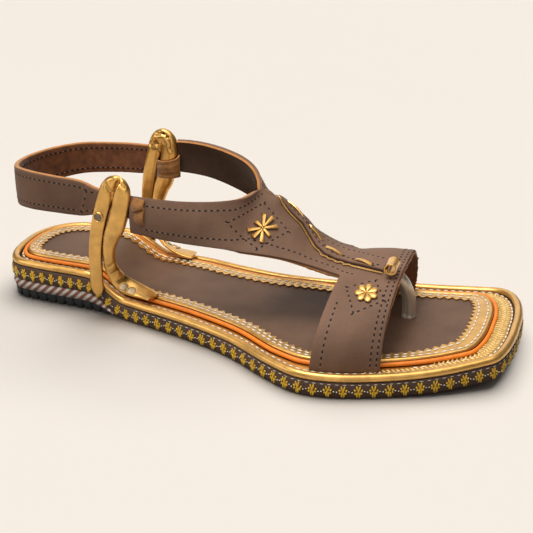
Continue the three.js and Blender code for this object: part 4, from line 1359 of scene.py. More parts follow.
# Overlay strip along the instep, its piping, lacing and bead
OVERLAY_LEFT = (
    (149.4, 6.4), (150.2, 4.2), (151.6, 2.4), (154.5, 1.9), (157.9, 1.2), (165.6, -0.7), (170.5, -3.6),
    (174.6, -6.7), (177.1, -7.9), (180.5, -10.2), (183.1, -10.1), (186, -11.1), (189.5, -11.3),
    (192.9, -12.2), (199.9, -15), (207.1, -17.5), (213, -18.9),
)
OVERLAY_RIGHT = (
    (153.2, 13.5), (158, 12.4), (164, 9.6), (170.2, 7.1), (174.7, 6.4), (180.7, 4.6), (187.8, 4.1),
    (195.1, 2.4), (203, -1.9), (210.2, -5), (214, -6.5),
)
OVERLAY_GAP = 0.35
OVERLAY_THICK = 1.5
OVERLAY_LONG = 80
OVERLAY_WIDE = 10
OVERLAY_MARGIN = 0.13
OVERLAY_CROWN = 0.4
OVERLAY_ROWS = (0.2, 0.82)
OVERLAY_ROW_ENDS = slice(3, OVERLAY_LONG - 4)
SKY = 200


def over(x, y, rise):
    """Place a given rise above the straps over a plan place, with the direction out of them."""
    spot, normal, _, _ = upper_tree().ray_cast(at((x, y, SKY)), -UP)
    if spot is None:
        raise RuntimeError(f"nothing of the straps lies under {x}, {y}")
    return home(spot) + normal * rise, normal


def overlay_sides():
    """Plan places along the near side and the far side of the overlay."""
    lines = ([Vector((x, y, 0)) for x, y in points] for points in (OVERLAY_LEFT, OVERLAY_RIGHT))
    return [even_points(line, OVERLAY_LONG + 1, open_line=True) for line in lines]


def overlay_top(left, right, share):
    """Place on top of the overlay between a pair of side places, with the direction out of it."""
    plan = left.lerp(right, lerp(OVERLAY_MARGIN, 1, share))
    return over(plan.x, plan.y, OVERLAY_GAP + OVERLAY_THICK + OVERLAY_CROWN * math.sin(math.pi * share))


def overlay_rows():
    """Stitch rows along both sides of the overlay."""
    pairs = list(zip(*overlay_sides()))[OVERLAY_ROW_ENDS]
    return [[overlay_top(*pair, share) for pair in pairs] for share in OVERLAY_ROWS]


def build_overlay():
    left, right = overlay_sides()
    bm = bmesh.new()
    sheet(bm, OVERLAY_WIDE, OVERLAY_LONG, lambda i, j: overlay_top(left[j], right[j], i / OVERLAY_WIDE)[0])
    face_up(bm)
    piece = finished(bm, "instep_overlay_strip", [BROWN, CUT_EDGE, BROWN],
                     ["instep_overlay"], "brown_leather", closed=False)
    wall(piece, OVERLAY_THICK, 0.35, inner=1, rim=2)
    build_overlay_piping(left, right)
    build_lacing()


PIPING_RADIUS = 0.24
PIPING_RISE = OVERLAY_GAP + 0.4
PIPING_SIDES = 6
PIPING_APART = 0.27
JOGS = {"from": 176, "to": 196, "pitch": 4.4, "reach": 0.6}


def jog(x):
    """Small steps of the edging where the overlay bends on to the ball strap."""
    if not JOGS["from"] < x < JOGS["to"]:
        return 0
    return JOGS["reach"] * math.sin(math.tau * (x - JOGS["from"]) / JOGS["pitch"])


def build_overlay_piping(left, right):
    """Folded gold edging along the overlay: a double line on its near side and one on its far side."""
    bm = bmesh.new()
    for line, shift in ((left, -PIPING_APART), (left, PIPING_APART), (right, 0)):
        path = [over(plan.x, plan.y + shift + jog(plan.x), PIPING_RISE) for plan in line]
        tube(bm, path, lambda share: PIPING_RADIUS, PIPING_SIDES)
    finished(bm, "overlay_gold_piping", [GOLD])


LACING = (
    ((154, 7.6), (164.5, 4.4)), ((167.6, 2.4), (175.6, 0.2)),
    ((179, -3.0), (189.6, -6.4)), ((197, -9.6), (207, -14.6)),
)
LACE_STEPS = 16
LACE_WIDE = 1.7
LACE_SECTION = ((-1, 0), (-0.7, 0.45), (0.7, 0.45), (1, 0), (0.7, -0.45), (-0.7, -0.45))
LACE_FOOT = OVERLAY_GAP + OVERLAY_THICK - 0.3
LACE_ARCH = 1.35
LACE_POWER = 0.6
SLIT = (2.0, 0.9, 0.5)
SLIT_BEYOND = 0.7
SLIT_RISE = OVERLAY_GAP + OVERLAY_THICK + OVERLAY_CROWN - 0.12


def lace_slits(holes):
    """Painted shade of the slits in the overlay where the lace goes in and out: dark dashes on its top."""
    for start, end in LACING:
        way = Vector((end[0] - start[0], end[1] - start[1], 0)).normalized()
        for place, reach in ((start, -SLIT_BEYOND), (end, SLIT_BEYOND)):
            spot, normal = over(place[0] + way.x * reach, place[1] + way.y * reach, SLIT_RISE)
            thread(holes, spot, (way - normal * way.dot(normal)).normalized(), normal, SLIT)


def build_lacing():
    """Gold lace that runs in and out along the overlay: four low arches."""
    bm = bmesh.new()
    for start, end in LACING:
        path = []
        for share in shares(LACE_STEPS):
            rise = LACE_FOOT + LACE_ARCH * math.sin(math.pi * share) ** LACE_POWER
            path.append(over(lerp(start[0], end[0], share), lerp(start[1], end[1], share), rise))

        def place(i, j):
            here, up = path[j]
            along = (path[min(j + 1, LACE_STEPS)][0] - path[max(j - 1, 0)][0]).normalized()
            side = up.cross(along).normalized()
            across, rise = LACE_SECTION[i % len(LACE_SECTION)]
            return here + side * across * LACE_WIDE / 2 + along.cross(side) * rise

        sheet(bm, len(LACE_SECTION), LACE_STEPS, place)
    weld(bm)
    finished(bm, "gold_instep_lacing", [GOLD])


BEAD_LONG = 9.0
BEAD_TURN = -2
BEAD_RADIUS = 3.3
BEAD_NARROWS = 0.8
BEAD_SHEET = 0.75
BEAD_START = 230
BEAD_TURNS = 1.12
BEAD_FLARE = 0.06
BEAD_STEPS = 34
BEAD_RINGS = 8


def build_bead():
    """Gold tube rolled from a strip, its seam lapped, lying across the front of the overlay."""
    low, high = (home(corner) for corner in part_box("bead"))
    turn = math.radians(BEAD_TURN)
    axis = Vector((-math.sin(turn), -math.cos(turn), 0))
    side = UP.cross(axis).normalized()
    up = axis.cross(side)
    outer = [(BEAD_RADIUS - BEAD_NARROWS * share, math.radians(BEAD_START) - math.tau * BEAD_TURNS * share)
             for share in shares(BEAD_STEPS)]
    loop = outer + [(radius - BEAD_SHEET, angle) for radius, angle in reversed(outer)]

    def place(i, j):
        radius, angle = loop[i % len(loop)]
        share = j / BEAD_RINGS
        flare = 1 + BEAD_FLARE * (2 * share - 1) ** 2
        spot = (low + high) / 2 + axis * BEAD_LONG * (share - 0.5)
        return spot + (side * math.cos(angle) + up * math.sin(angle)) * radius * flare

    bm = lofted(len(loop), BEAD_RINGS, place)
    soften(finished(bm, "rolled_gold_bead", [GOLD], ["bead"], "gold_leather"), 0.15, 60)


# Heel strap
HEEL_STRAP = table(
    "x y middle tall",
    (72, -27, 66, 12), (64, -27.05, 66.4, 15), (55, -27.3, 66.8, 19.5), (40, -27.2, 66.8, 20.5),
    (24, -25, 66.4, 21.5), (10.5, -14, 63.4, 22), (5.5, 3, 61.8, 21), (11, 20, 62.4, 19.5),
    (24, 32, 63.8, 18.4), (42, 37.4, 64.6, 17.8), (56, 39.3, 65, 17.6), (70, 39.5, 65.4, 16.6),
)
STRAP_LONG = 110
STRAP_TALL = 12
STRAP_CROWN = 0.35
STRAP_ROWS = (0.17, 0.83)
STRAP_ROW_STEPS = 90
STRAP_ROW_END = 0.98
INSIDE_ROW_START = 0.17
INSIDE_ROW_OUT = -STRAP_WALL - 0.3
# Doubled end of the strap: shares along the strap, and how far it stands out
STRAP_TAB = {"top": 0.138, "bottom": 0.189, "out": 0.75, "row": 0.014, "start": 0.05, "clear": 0.02}
TAB_LEVELS = (0.02, 0.98)
TAB_ROW_STEPS = 12
HEADING_STEP = 0.05


def heel_strap_place(share, level, out=0.0):
    """Place on the heel strap's outer face: share along it, level from its lower to its upper edge."""
    order = share * HEEL_STRAP["order"][-1]
    row, ahead, behind = (row_at(HEEL_STRAP, order + step) for step in (0, HEADING_STEP, -HEADING_STEP))
    along = Vector((ahead.x - behind.x, ahead.y - behind.y, 0)).normalized()
    outward = Vector((-along.y, along.x, 0))
    crown = STRAP_CROWN * math.sin(math.pi * level)
    spot = Vector((row.x, row.y, row.middle + row.tall * (level - 0.5)))
    return spot + outward * (STRAP_WALL / 2 + crown + out), outward


def tab_end(level):
    """Share along the heel strap at which its doubled end stops; the end is cut on a slant."""
    return lerp(STRAP_TAB["bottom"], STRAP_TAB["top"], level)


def tab_stitch(share, level):
    """Place on the doubled end, between its start and the stitch row along its cut."""
    end = tab_end(level) - STRAP_TAB["row"]
    return heel_strap_place(lerp(STRAP_TAB["start"], end, share), level, STRAP_TAB["out"])


def heel_strap_rows():
    rows = []
    for level in STRAP_ROWS:
        outside, inside = [], []
        for share in shares(STRAP_ROW_STEPS):
            start = tab_end(level) + STRAP_TAB["clear"]
            outside.append(heel_strap_place(lerp(start, STRAP_ROW_END, share), level))
            along = lerp(INSIDE_ROW_START, STRAP_ROW_END, share)
            spot, outward = heel_strap_place(along, level, INSIDE_ROW_OUT)
            inside.append((spot, -outward))
        rows += [outside, inside, [tab_stitch(share, level) for share in shares(TAB_ROW_STEPS)]]
    low, high = STRAP_ROWS
    return rows + [[tab_stitch(1, lerp(high, low, share)) for share in shares(TAB_ROW_STEPS)]]


def build_heel_strap():
    outward = heel_strap_place(0, 0.5)[1]
    bm = bmesh.new()
    sheet(bm, STRAP_TALL, STRAP_LONG, lambda i, j: heel_strap_place(j / STRAP_LONG, i / STRAP_TALL)[0])
    facing(bm, outward)
    piece = finished(bm, "leather_heel_strap", [BROWN, LINING, CUT_EDGE],
                     ["heel_strap"], "brown_leather", closed=False)
    wall(piece, STRAP_WALL, 0.7, inner=1, rim=2)

    # Doubled end of the strap, stitched down beside the loop
    def doubled(i, j):
        level = lerp(*TAB_LEVELS, i / STRAP_TALL)
        return heel_strap_place(tab_end(level) * j / STRAP_TALL, level, STRAP_TAB["out"])[0]

    bm = bmesh.new()
    sheet(bm, STRAP_TALL, STRAP_TALL, doubled)
    facing(bm, outward)
    piece = finished(bm, "heel_strap_end", [BROWN], slot="brown_leather", closed=False)
    wall(piece, STRAP_TAB["out"], 0.3)


# Padded loops
LOOP = table(
    "x lateral medial z wide thick turn box",
    (62.2, 28.4, 37.3, 12.6, 2.6, 1.8, 0, 0.75), (62.1, 28.45, 37.3, 14, 5.4, 2.1, 0, 0.7),
    (61.95, 28.6, 37.3, 17.5, 7.2, 2.4, 0, 0.6), (62.3, 29.3, 37, 25, 7.4, 2.8, 0, 0.6),
    (63.7, 30.6, 36.2, 40, 7.4, 3.8, 0, 0.62), (67.2, 31.2, 35.4, 56, 7.9, 4.8, 0, 0.66),
    (70.95, 31.2, 35.4, 68, 8.4, 5, 0, 0.75), (74.5, 31.2, 35.4, 76.3, 9, 5.6, 0, 0.85),
    (78.7, 31.3, 35.4, 79, 9, 6, 0, 0.95), (81.4, 31.5, 35.2, 75.4, 9.2, 6.4, 0, 0.95),
    (80.5, 31.7, 35, 67.6, 10, 6.8, 0, 1), (76.9, 31.5, 35, 56, 10, 7, 0, 1),
    (73.8, 30.9, 34.9, 49.6, 8.6, 6.6, 0, 0.97), (71.3, 29.9, 34.4, 42, 7, 6, 0, 0.95),
    (70, 27.9, 32.8, 33, 6.6, 5.2, 15, 0.88), (70.6, 25.8, 31, 26.4, 7.4, 4.2, 38, 0.82),
    (73.6, 24.4, 29.8, 20.6, 8.8, 3.1, 54, 0.76), (78.5, 23.6, 28.8, 17.5, 10.2, 2.4, 66, 0.68),
    (86.5, 23.6, 28.5, 15.6, 10, 2, 83, 0.6), (93, 25.2, 28.8, 14.8, 8.8, 1.6, 90, 0.55),
)
LOOP_BASE_Z = 12.6
MEDIAL_LEAN = 0.06
MEDIAL_STRETCH = 1.035
LOOP_SIDES = 36
LOOP_LONG = 260
DEEPEST_DENT = 0.44
LEAST_RISE = 0.1
# Fold lines of each loop: x and z of both ends, width and depth
LOOP_CREASES = {
    "lateral": (
        (76.3, 73.2, 73.4, 79.4, 0.9, 1.7), (76.3, 73.2, 81.0, 82.4, 0.9, 2.3),
        (80.2, 80.6, 83.8, 78.4, 0.8, 1.4), (76.6, 77.2, 78.0, 79.6, 2.0, 0.8),
        (75.3, 67.0, 76.3, 73.2, 0.8, 1.4), (63.0, 47.6, 68.2, 48.8, 0.9, 0.4),
        (61.6, 42.0, 67.0, 43.6, 0.8, 0.35), (69.0, 31.0, 73.2, 34.0, 0.9, 0.5),
        (69.6, 26.0, 75.0, 29.0, 0.9, 0.5),
    ),
    "medial": (
        (74.0, 80.9, 79.0, 81.2, 0.7, 1.3), (79.0, 81.2, 81.4, 79.6, 0.7, 1.3),
        (81.4, 79.6, 83.0, 72.8, 0.7, 1.0), (73.8, 75.4, 74.5, 76.2, 1.0, 2.4),
        (68.5, 75.2, 72.7, 73.4, 0.7, 1.0), (74.5, 76.2, 76.1, 70.0, 0.7, 1.2),
    ),
}


def loop_place(side, x, y, z):
    """Moves a place on the lateral loop, with y out from the axis, to its own side of the shoe."""
    if side == "lateral":
        return Vector((x, -y, z))
    above = z - LOOP_BASE_Z
    return Vector((x - MEDIAL_LEAN * above, y, LOOP_BASE_Z + above * MEDIAL_STRETCH))


def crease_depth(side, x, z):
    """How far the fold lines draw the leather in at a place on the loop's face."""
    depth = 0
    for x0, z0, x1, z1, wide, deep in LOOP_CREASES[side]:
        run, climb = x1 - x0, z1 - z0
        share = ((x - x0) * run + (z - z0) * climb) / (run * run + climb * climb)
        share = min(max(share, 0), 1)
        gap = math.hypot(x - x0 - run * share, z - z0 - climb * share)
        depth += deep * math.exp(-((gap / wide) ** 2))
    return depth


def loop_stations(side):
    """Sections along the loop: middle, the ways of its width and thickness, and its sizes."""
    stations = []
    for share in shares(LOOP_LONG):
        order = share * LOOP["order"][-1]
        rows = [row_at(LOOP, order + step) for step in (0, HEADING_STEP, -HEADING_STEP)]
        middle, ahead, behind = (Vector((row.x, getattr(row, side), row.z)) for row in rows)
        along = (ahead - behind).normalized()
        flat = (Vector((0, 1, 0)) - along * along.y).normalized()
        wide = along.cross(flat)
        row = rows[0]
        turn = math.radians(-row.turn)
        row.middle = middle
        row.width_way = wide * math.cos(turn) + flat * math.sin(turn)
        row.thick_way = flat * math.cos(turn) - wide * math.sin(turn)
        stations.append(row)
    return stations


def loop_point(side, row, i):
    angle = math.tau * ((i % LOOP_SIDES) + 0.5) / LOOP_SIDES
    c, d = math.cos(angle), math.sin(angle)
    spot = row.middle + row.width_way * math.copysign(abs(c) ** row.box, c) * row.wide / 2
    rise = abs(d) ** row.box * row.thick / 2
    dent = min(crease_depth(side, spot.x, spot.z), row.thick * DEEPEST_DENT) * abs(d)
    spot = spot + row.thick_way * math.copysign(max(rise - dent, LEAST_RISE), d)
    return loop_place(side, *spot)


def build_loops():
    for side in SIDES:
        stations = loop_stations(side)
        bm = lofted(LOOP_SIDES, LOOP_LONG, lambda i, j: loop_point(side, stations[j], i))
        stuff = ["padded gold foil leather"]
        piece = finished(bm, f"padded_loop_{side}", stuff, [f"loop_{side}"], "gold_leather")


# Suede keeper and tab
SUEDE_FINISHES = ("tan suede", LINING, CUT_EDGE)
LATERAL_OUT = Vector((0, -1, 0))
TAB_FROM = 82
TAB_TO = 94.2
TAB_LONG = 12
TAB_STEPS = 14
TAB_TUCK = 6.0
TAB_THICK = 0.9
TAB_PUFF = 0.7
TAB_SLOPE = 0.3
# Flaps of the tab: levels of the lower and of the upper edge at both ends, and how far it stands out
TAB_FLAPS = (((0.3, 0.27), (0.5, 0.77), 0.8), ((0.47, 0.73), (0.97, 0.98), 1.8))
KEEPER_LONG = 24
KEEPER_THICK = 1.3
KEEPER_TURN = (0.1, 0.98)
KEEPER_AHEAD = 0.3
KEEPER_WRAP = 3.6
KEEPER_BACK = 1.6
KEEPER_PUFF = 0.5
KEEPER_PROUD = 0.3
# Lower and upper edge of the keeper: shift of its start and climb along it
KEEPER_FOOT = (-0.6, 1.6)
KEEPER_HEAD = (0.2, 4.2)
# Folds of the keeper: level, width and depth
KEEPER_FOLDS = ((0.2, 0.09, 0.55), (0.42, 0.07, 0.3), (0.78, 0.06, 0.45))
FOLD_DRIFT = 0.06


def build_suede():
    low, high = (home(corner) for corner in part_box("keeper_medial"))

    def keeper(i, j):
        share, level = j / KEEPER_LONG, i / TAB_STEPS
        angle = math.pi * lerp(*KEEPER_TURN, share)
        x = lerp(low.x, high.x, (1 - math.cos(angle)) / 2) + KEEPER_AHEAD
        wrap = KEEPER_WRAP * math.sin(angle) - KEEPER_BACK
        folds = sum(deep * math.exp(-(((level - fold - FOLD_DRIFT * share) / wide) ** 2))
                    for fold, wide, deep in KEEPER_FOLDS)
        puff = KEEPER_PUFF * math.sin(math.pi * level) + KEEPER_PROUD - folds
        foot = low.z + KEEPER_FOOT[0] + KEEPER_FOOT[1] * share
        head = high.z + KEEPER_HEAD[0] + KEEPER_HEAD[1] * share * share
        return x, high.y - wrap - puff, lerp(foot, head, level)

    bm = bmesh.new()
    sheet(bm, TAB_STEPS, KEEPER_LONG, keeper)
    facing(bm, LATERAL_OUT)
    piece = finished(bm, "suede_keeper", SUEDE_FINISHES, ["keeper_medial"], "suede", closed=False)
    wall(piece, KEEPER_THICK, 0.3, inner=1, rim=2)

    # Folded tab: a lower flap and an upper one over it, parted on a slant
    bm = bmesh.new()
    for bottom, top, lift in TAB_FLAPS:

        def tab(i, j):
            share, level = j / TAB_LONG, i / TAB_STEPS
            rise = lerp(lerp(*bottom, share), lerp(*top, share), level)
            puff = lift + TAB_PUFF * math.sin(math.pi * level)
            puff -= TAB_SLOPE * share + TAB_TUCK * (1 - share) ** 2
            return instep_point("lateral", lerp(TAB_FROM, TAB_TO, share), rise) + LATERAL_OUT * puff

        sheet(bm, TAB_STEPS, TAB_LONG, tab)
    facing(bm, LATERAL_OUT)
    piece = finished(bm, "suede_tab", SUEDE_FINISHES, ["tab_lateral"], "suede", closed=False)
    wall(piece, TAB_THICK, 0.25, inner=1, rim=2)


# Toe post
TOE_POST = table(
    "x y z radius",
    (223, 4, 13, 4.0), (222.95, 4, 13.7, 3.9), (222.9, 4, 15, 3.6), (222.4, 3.6, 23, 3.5),
    (220, 2, 31, 3.5), (215.5, 0, 37.4, 3.4), (210.5, -1, 41.2, 3.0),
)
POST_LONG = 40
POST_SIDES = 24
POST_FRONT = Vector((1, 0, 0.4)).normalized()


def build_toe_post():
    last = TOE_POST["order"][-1]
    rows = [row_at(TOE_POST, last * share) for share in shares(POST_LONG)]
    bm = bmesh.new()
    line = [(Vector((row.x, row.y, row.z)), POST_FRONT) for row in rows]
    tube(bm, line, lambda share: read(TOE_POST, "radius", last * share), POST_SIDES)
    finished(bm, "pewter_toe_post", ["streaked pewter foil"], ["toe_post"], "pewter_leather")


# Rivets and ornaments: heads by radius and rise, seats by radius and thickness
DOME = ((0, 1), (0.45, 0.95), (0.8, 0.7), (1, 0.3))
DOME_LIP = ((1.04, 0.05), (1, 0))
DOME_STEPS = 18
SEAT_SIDES = 6
SEAT_STEPS = 20
LEG_RIVET = {"head": (2.1, 0.35), "seat": (2.5, 0.5), "sink": 0.45}
FOOT_RIVET = {"head": (2.2, 0.4), "seat": (2.55, 0.32), "sink": 0.6}


def spin(bm, centre, out, profile, steps, closed):
    """Spins a profile of (distance, height) pairs about an axis."""
    side = out.orthogonal().normalized()
    verts = [bm.verts.new(at(centre + side * across + out * up)) for across, up in profile]
    pairs = [(verts[k], verts[k - 1]) for k in range(len(verts))] if closed else zip(verts, verts[1:])
    geom = verts + [bm.edges.new(pair) for pair in pairs]
    bmesh.ops.spin(bm, geom=geom, cent=at(centre), axis=out, angle=math.tau, steps=steps, use_merge=True)


def dome(bm, centre, out, radius, rise):
    """Low domed rivet head with a turned-down rim."""
    profile = [(radius * across, rise * up) for across, up in DOME]
    profile += [(radius * across, up) for across, up in DOME_LIP]
    spin(bm, centre, out, profile, DOME_STEPS, False)
    weld(bm)


def rivet(heads, seats, middle, out, sizes):
    """Rivet head in a ring of pressed leather, sunk from the middle of its CAD node."""
    centre = middle - out * sizes["sink"]
    dome(heads, centre, out, *sizes["head"])
    radius, thick = sizes["seat"]
    profile = [(radius + across, up) for across, up in circle(thick, SEAT_SIDES)]
    spin(seats, centre, out, profile, SEAT_STEPS, True)


def middle_of(node):
    low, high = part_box(node)
    return home((low + high) / 2)


def foot_facing(side, spot):
    """Way the loop's foot faces under a rivet."""
    row = min(loop_stations(side), key=lambda row: (loop_place(side, *row.middle) - spot).length)
    return Vector((row.thick_way.x, row.thick_way.y * SIDES[side], row.thick_way.z))


def build_rivets():
    seats = bmesh.new()
    bm = bmesh.new()
    rivet(bm, seats, middle_of("leg_rivet"), LATERAL_OUT, LEG_RIVET)
    finished(bm, "loop_leg_rivet", ["aged rivet metal"], ["leg_rivet"], "dull_metal")
    nodes = []
    bm = bmesh.new()
    for side in SIDES:
        for node in (f"foot_rivet_{side}_1", f"foot_rivet_{side}_2"):
            middle = middle_of(node)
            rivet(bm, seats, middle, foot_facing(side, middle), FOOT_RIVET)
            nodes.append(node)
    finished(bm, "loop_foot_rivets", ["pale rivet metal"], nodes, "dull_metal")
    finished(seats, "rivet_seats", [GOLD])


STAR_CENTRE = (151.0, -17.0, 59.9)
STAR_TIPS = (
    (149.2, -10.5, 64.3), (153.6, -9.3, 62.9), (156.9, -11.8, 59.2), (155.2, -18.2, 56.5),
    (152.4, -23.0, 54.6), (147.8, -23.1, 56.6), (144.3, -21.7, 59.3), (146.7, -16.0, 62.1),
)
# Strips of a star: middle and length as shares of its reach, the rest in mm
STRIP = {"middle": 0.54, "long": 0.92, "wide": 2.2, "thick": 0.8, "rise": 0.75, "step": 0.12}
STRIP_INNER = 0.5
STRIP_ROUND = 0.3
BOSS_RISE = 0.9
BOSS = (0.8, 0.6)
FLOWER_CENTRE = (209.4, -33.2, 41.2)
FLOWER_FIRST = Vector((0.2, -1, 0))
FLOWER_TURN = 0.2
FLOWER_RISE = 0.7
PETALS = 7
PETAL_LONG = 5.8
PETAL_WIDE = 4.0
PETAL_THICK = 1.5
PETAL_SEGMENTS = 14
PETAL_RINGS = 10
# Width and thickness of a petal's root as shares, and the stretch over which it widens
PETAL_ROOT = (0.3, 0.7)
PETAL_WIDENS = (0.1, 0.75)


def strip(bm, centre, along, up, size):
    """Flat strip with softened edges, its inner end narrowed; size is length, width and thickness in mm."""
    side = up.cross(along).normalized()
    verts = bmesh.ops.create_cube(bm, size=1)["verts"]
    for vert in verts:
        width = size[1] * (STRIP_INNER if vert.co.x < 0 else 1)
        way = along * vert.co.x * size[0] + side * vert.co.y * width + up * vert.co.z * size[2]
        vert.co = at(centre + way)
    edges = {edge for vert in verts for edge in vert.link_edges}
    offset = STRIP_ROUND * size[2] * MM
    bmesh.ops.bevel(
        bm, geom=list(edges), offset=offset, affect="EDGES", segments=2, profile=0.5, material=-1)


def petal(bm, root, along, up):
    """Domed petal, narrow at its root and round at its tip."""
    side = up.cross(along)
    made = bmesh.ops.create_uvsphere(
        bm, u_segments=PETAL_SEGMENTS, v_segments=PETAL_RINGS, radius=0.5)
    for vert in made["verts"]:
        reach = vert.co.z + 0.5
        width = PETAL_WIDE * lerp(PETAL_ROOT[0], 1, smoothstep(reach, *PETAL_WIDENS))
        rise = PETAL_THICK * lerp(PETAL_ROOT[1], 1, reach)
        vert.co = at(root + along * reach * PETAL_LONG + side * vert.co.x * width + up * vert.co.y * rise)


def build_ornaments():
    stars, flowers = bmesh.new(), bmesh.new()
    for turn in (tuple, mirrored):
        centre, normal = on_upper(turn(STAR_CENTRE))
        for order, tip in enumerate(STAR_TIPS):
            end, _ = on_upper(turn(tip))
            along = (end - centre) - normal * (end - centre).dot(normal)
            reach = along.length
            along.normalize()
            rise = STRIP["rise"] + STRIP["step"] * (order % 2)
            spot = centre + along * reach * STRIP["middle"] + normal * rise
            strip(stars, spot, along, normal, (reach * STRIP["long"], STRIP["wide"], STRIP["thick"]))
        dome(stars, centre + normal * BOSS_RISE, normal, *BOSS)

        centre, normal = on_upper(turn(FLOWER_CENTRE))
        first = (FLOWER_FIRST - normal * FLOWER_FIRST.dot(normal)).normalized()
        for k in range(PETALS):
            along = Matrix.Rotation(math.tau * k / PETALS + FLOWER_TURN, 3, normal) @ first
            petal(flowers, centre + normal * FLOWER_RISE, along, normal)
    finished(stars, "gold_stars", [GOLD], ["star_lateral", "star_medial"], "gold_leather")
    finished(flowers, "gold_flowers", [GOLD], ["flower_lateral", "flower_medial"], "gold_leather")


# Stage
CAMERA_AT = (321.25, -485.0, 282.16)
CAMERA_BACK = (0.30397, -0.84532, 0.43936)
CAMERA_LENS = 74.08
CAMERA_SENSOR = 36
CAMERA_NEAR = 0.01
FLOOR_REACH = 20.0
LAMP_TINT = "#FFFAF4"
SUNS = {
    "shoe_sun": {"from": (-0.2, -0.15, 1.0), "power": 1.5, "spread": 24},
    "floor_sun": {"from": (-0.02, 0.42, 1.0), "power": 2.98, "spread": 60},
}
SKY_STRENGTH = 0.22
SKY_TILT = (-0.05, 0.3, 0.95)
SKY_STOPS = ((0.0, "#8A7F74"), (0.45, "#5A534B"), (0.62, "#8C857D"), (0.82, "#EDEAE6"), (1.0, "#FFFFFF"))
CARDS = {
    "ceiling_card": {"at": (140, -110, 680), "size": 0.8, "power": 3.3},
    "left_card": {"at": (-360, -380, 280), "size": 0.36, "power": 0.9},
    "back_card": {"at": (-130, 760, 408), "size": 1.0, "power": 2.3},
    "front_card": {"at": (330, -620, 330), "size": 0.6, "power": 0.9},
}
CARD_AIM = (140, 0, 30)


def hold(data, place, toward):
    """Puts a lamp or a camera in the scene, looking away from the given way."""
    holder = bpy.data.objects.new(data.name, data)
    holder.location = place
    holder.rotation_euler = (-Vector(toward)).to_track_quat("-Z", "Y").to_euler()
    bpy.context.scene.collection.objects.link(holder)
    return holder


def hang(lamp, place, toward, floor, for_floor):
    """Hangs a lamp that shines either on the floor alone or on all else."""
    lamp.color = linear(LAMP_TINT)[:3]
    lit = bpy.data.collections.new(f"lit by {lamp.name}")
    lit.objects.link(floor)
    lit.collection_objects[0].light_linking.link_state = "INCLUDE" if for_floor else "EXCLUDE"
    hold(lamp, place, toward).light_linking.receiver_collection = lit


def build_stage():
    scene = bpy.context.scene
    bm = bmesh.new()
    bmesh.ops.create_grid(bm, x_segments=2, y_segments=2, size=FLOOR_REACH)
    mesh = bpy.data.meshes.new("studio_floor")
    bm.to_mesh(mesh)
    bm.free()
    mesh.materials.append(finish("painted studio floor"))
    floor = bpy.data.objects.new("studio_floor", mesh)
    scene.collection.objects.link(floor)
    floor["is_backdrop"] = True

    # Studio ceiling: bright overhead and behind the shoe, dark on the viewer's side
    world = bpy.data.worlds.new("studio")
    world.use_nodes = True
    look = {0: coords(world, "Generated"), 1: SKY_TILT}
    tilt = add(world, "ShaderNodeVectorMath", look, operation="DOT_PRODUCT").outputs["Value"]
    height = add(world, "ShaderNodeMapRange", {"Value": tilt, "From Min": -1.0}).outputs["Result"]
    ceiling = ramp(world, height, [(place, linear(code)) for place, code in SKY_STOPS])
    sky = world.node_tree.nodes["Background"]
    world.node_tree.links.new(ceiling, sky.inputs["Color"])
    sky.inputs["Strength"].default_value = SKY_STRENGTH
    scene.world = world

    # The floor has a sun of its own, from behind, and no other lamp: its shadow falls towards the viewer
    floor.visible_diffuse = False
    for name, sun in SUNS.items():
        lamp = bpy.data.lights.new(name, "SUN")
        lamp.energy = sun["power"]
        lamp.angle = math.radians(sun["spread"])
        hang(lamp, Vector(), sun["from"], floor, name == "floor_sun")
    for name, card in CARDS.items():
        lamp = bpy.data.lights.new(name, "AREA")
        lamp.shape = "DISK"
        lamp.size = card["size"]
        lamp.energy = card["power"]
        hang(lamp, at(card["at"]), at(card["at"]) - at(CARD_AIM), floor, False)

    camera = bpy.data.cameras.new("photo_view")
    camera.lens = CAMERA_LENS
    camera.sensor_width = CAMERA_SENSOR
    camera.clip_start = CAMERA_NEAR
    scene.camera = hold(camera, at(CAMERA_AT), CAMERA_BACK)
    scene.view_settings.view_transform = "Standard"


class Build:
    """Runs the steps of an operator in turn."""
    steps = ()

    def execute(self, context):
        for step in self.steps:
            step()
        return {"FINISHED"}


class CHAPPAL_OT_stage(Build, bpy.types.Operator):
    """Sets the floor, the light and the camera"""
    bl_idname = "chappal.stage"
    bl_label = "Stage"
    steps = (build_stage,)


class CHAPPAL_OT_sole(Build, bpy.types.Operator):
    """Builds the rand, the gold topsole and the footbed"""
    bl_idname = "chappal.sole"
    bl_label = "Sole"
    steps = (build_sole,)


class CHAPPAL_OT_edges(Build, bpy.types.Operator):
    """Builds the piping, the orange cord and the pinked binding"""
    bl_idname = "chappal.edges"
    bl_label = "Piping, cord and binding"
    steps = (build_edges,)


class CHAPPAL_OT_heel_pad(Build, bpy.types.Operator):
    """Builds the striped heel band and the lugged rubber"""
    bl_idname = "chappal.heel_pad"
    bl_label = "Heel pad"
    steps = (build_heel_pad,)


class CHAPPAL_OT_upper(Build, bpy.types.Operator):
    """Builds the ball strap, the instep piece and the quarter straps"""
    bl_idname = "chappal.upper"
    bl_label = "Straps"
    steps = (build_upper,)


class CHAPPAL_OT_overlay(Build, bpy.types.Operator):
    """Builds the instep overlay with its piping, lacing and bead"""
    bl_idname = "chappal.overlay"
    bl_label = "Instep overlay"
    steps = (build_overlay, build_bead)


class CHAPPAL_OT_heel_strap(Build, bpy.types.Operator):
    """Builds the strap round the heel"""
    bl_idname = "chappal.heel_strap"
    bl_label = "Heel strap"
    steps = (build_heel_strap,)


class CHAPPAL_OT_loops(Build, bpy.types.Operator):
    """Builds the padded gold loops with their suede keeper and tab"""
    bl_idname = "chappal.loops"
    bl_label = "Loops"
    steps = (build_loops, build_suede)


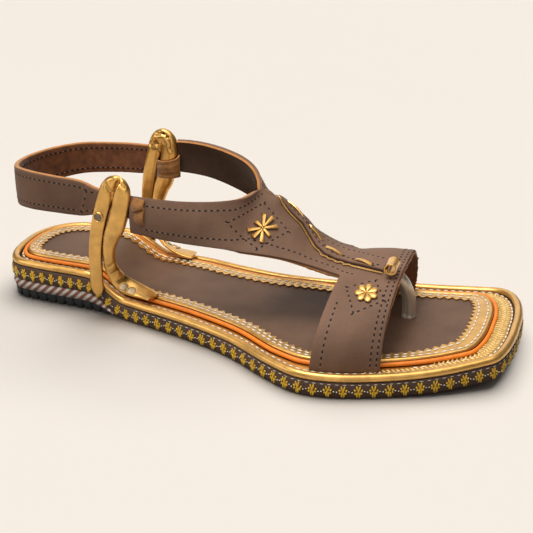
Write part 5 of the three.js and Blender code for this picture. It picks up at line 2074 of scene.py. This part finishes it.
class CHAPPAL_OT_toe_post(Build, bpy.types.Operator):
    """Builds the pewter toe post"""
    bl_idname = "chappal.toe_post"
    bl_label = "Toe post"
    steps = (build_toe_post,)


class CHAPPAL_OT_trim(Build, bpy.types.Operator):
    """Builds the rivets, stars and flowers"""
    bl_idname = "chappal.trim"
    bl_label = "Rivets and ornaments"
    steps = (build_rivets, build_ornaments)


class CHAPPAL_OT_stitching(Build, bpy.types.Operator):
    """Sews the sole and the straps and embroiders the sole's edge"""
    bl_idname = "chappal.stitching"
    bl_label = "Stitching and embroidery"
    steps = (build_sole_stitching, build_strap_stitching, build_embroidery)


OPERATORS = (
    CHAPPAL_OT_stage,
    CHAPPAL_OT_sole,
    CHAPPAL_OT_edges,
    CHAPPAL_OT_heel_pad,
    CHAPPAL_OT_upper,
    CHAPPAL_OT_overlay,
    CHAPPAL_OT_heel_strap,
    CHAPPAL_OT_loops,
    CHAPPAL_OT_toe_post,
    CHAPPAL_OT_trim,
    CHAPPAL_OT_stitching,
)


class CHAPPAL_PT_panel(bpy.types.Panel):
    """Lists the chappal's pieces, sizes and colours"""
    bl_idname = "CHAPPAL_PT_panel"
    bl_label = "Leather chappal"
    bl_space_type = "VIEW_3D"
    bl_region_type = "UI"
    bl_category = "Chappal"

    def draw(self, context):
        for operator in OPERATORS:
            self.layout.operator(operator.bl_idname)
        for group in (context.scene.chappal_sizes, context.scene.chappal_colours):
            for name in group.__annotations__:
                self.layout.prop(group, name)


CLASSES = (ChappalColours, ChappalSizes, *OPERATORS, CHAPPAL_PT_panel)


def register():
    for made in CLASSES:
        bpy.utils.register_class(made)
    bpy.types.Scene.chappal_colours = PointerProperty(type=ChappalColours)
    bpy.types.Scene.chappal_sizes = PointerProperty(type=ChappalSizes)


def unregister():
    del bpy.types.Scene.chappal_sizes
    del bpy.types.Scene.chappal_colours
    for made in reversed(CLASSES):
        bpy.utils.unregister_class(made)


def main():
    register()
    for operator in OPERATORS:
        group, name = operator.bl_idname.split(".")
        getattr(getattr(bpy.ops, group), name)()
    boxes = {"cad": CAD_BOX, "visual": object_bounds()}
    {name: [list(corner) for corner in box] for name, box in boxes.items()}


if __name__ == "__main__":
    main()
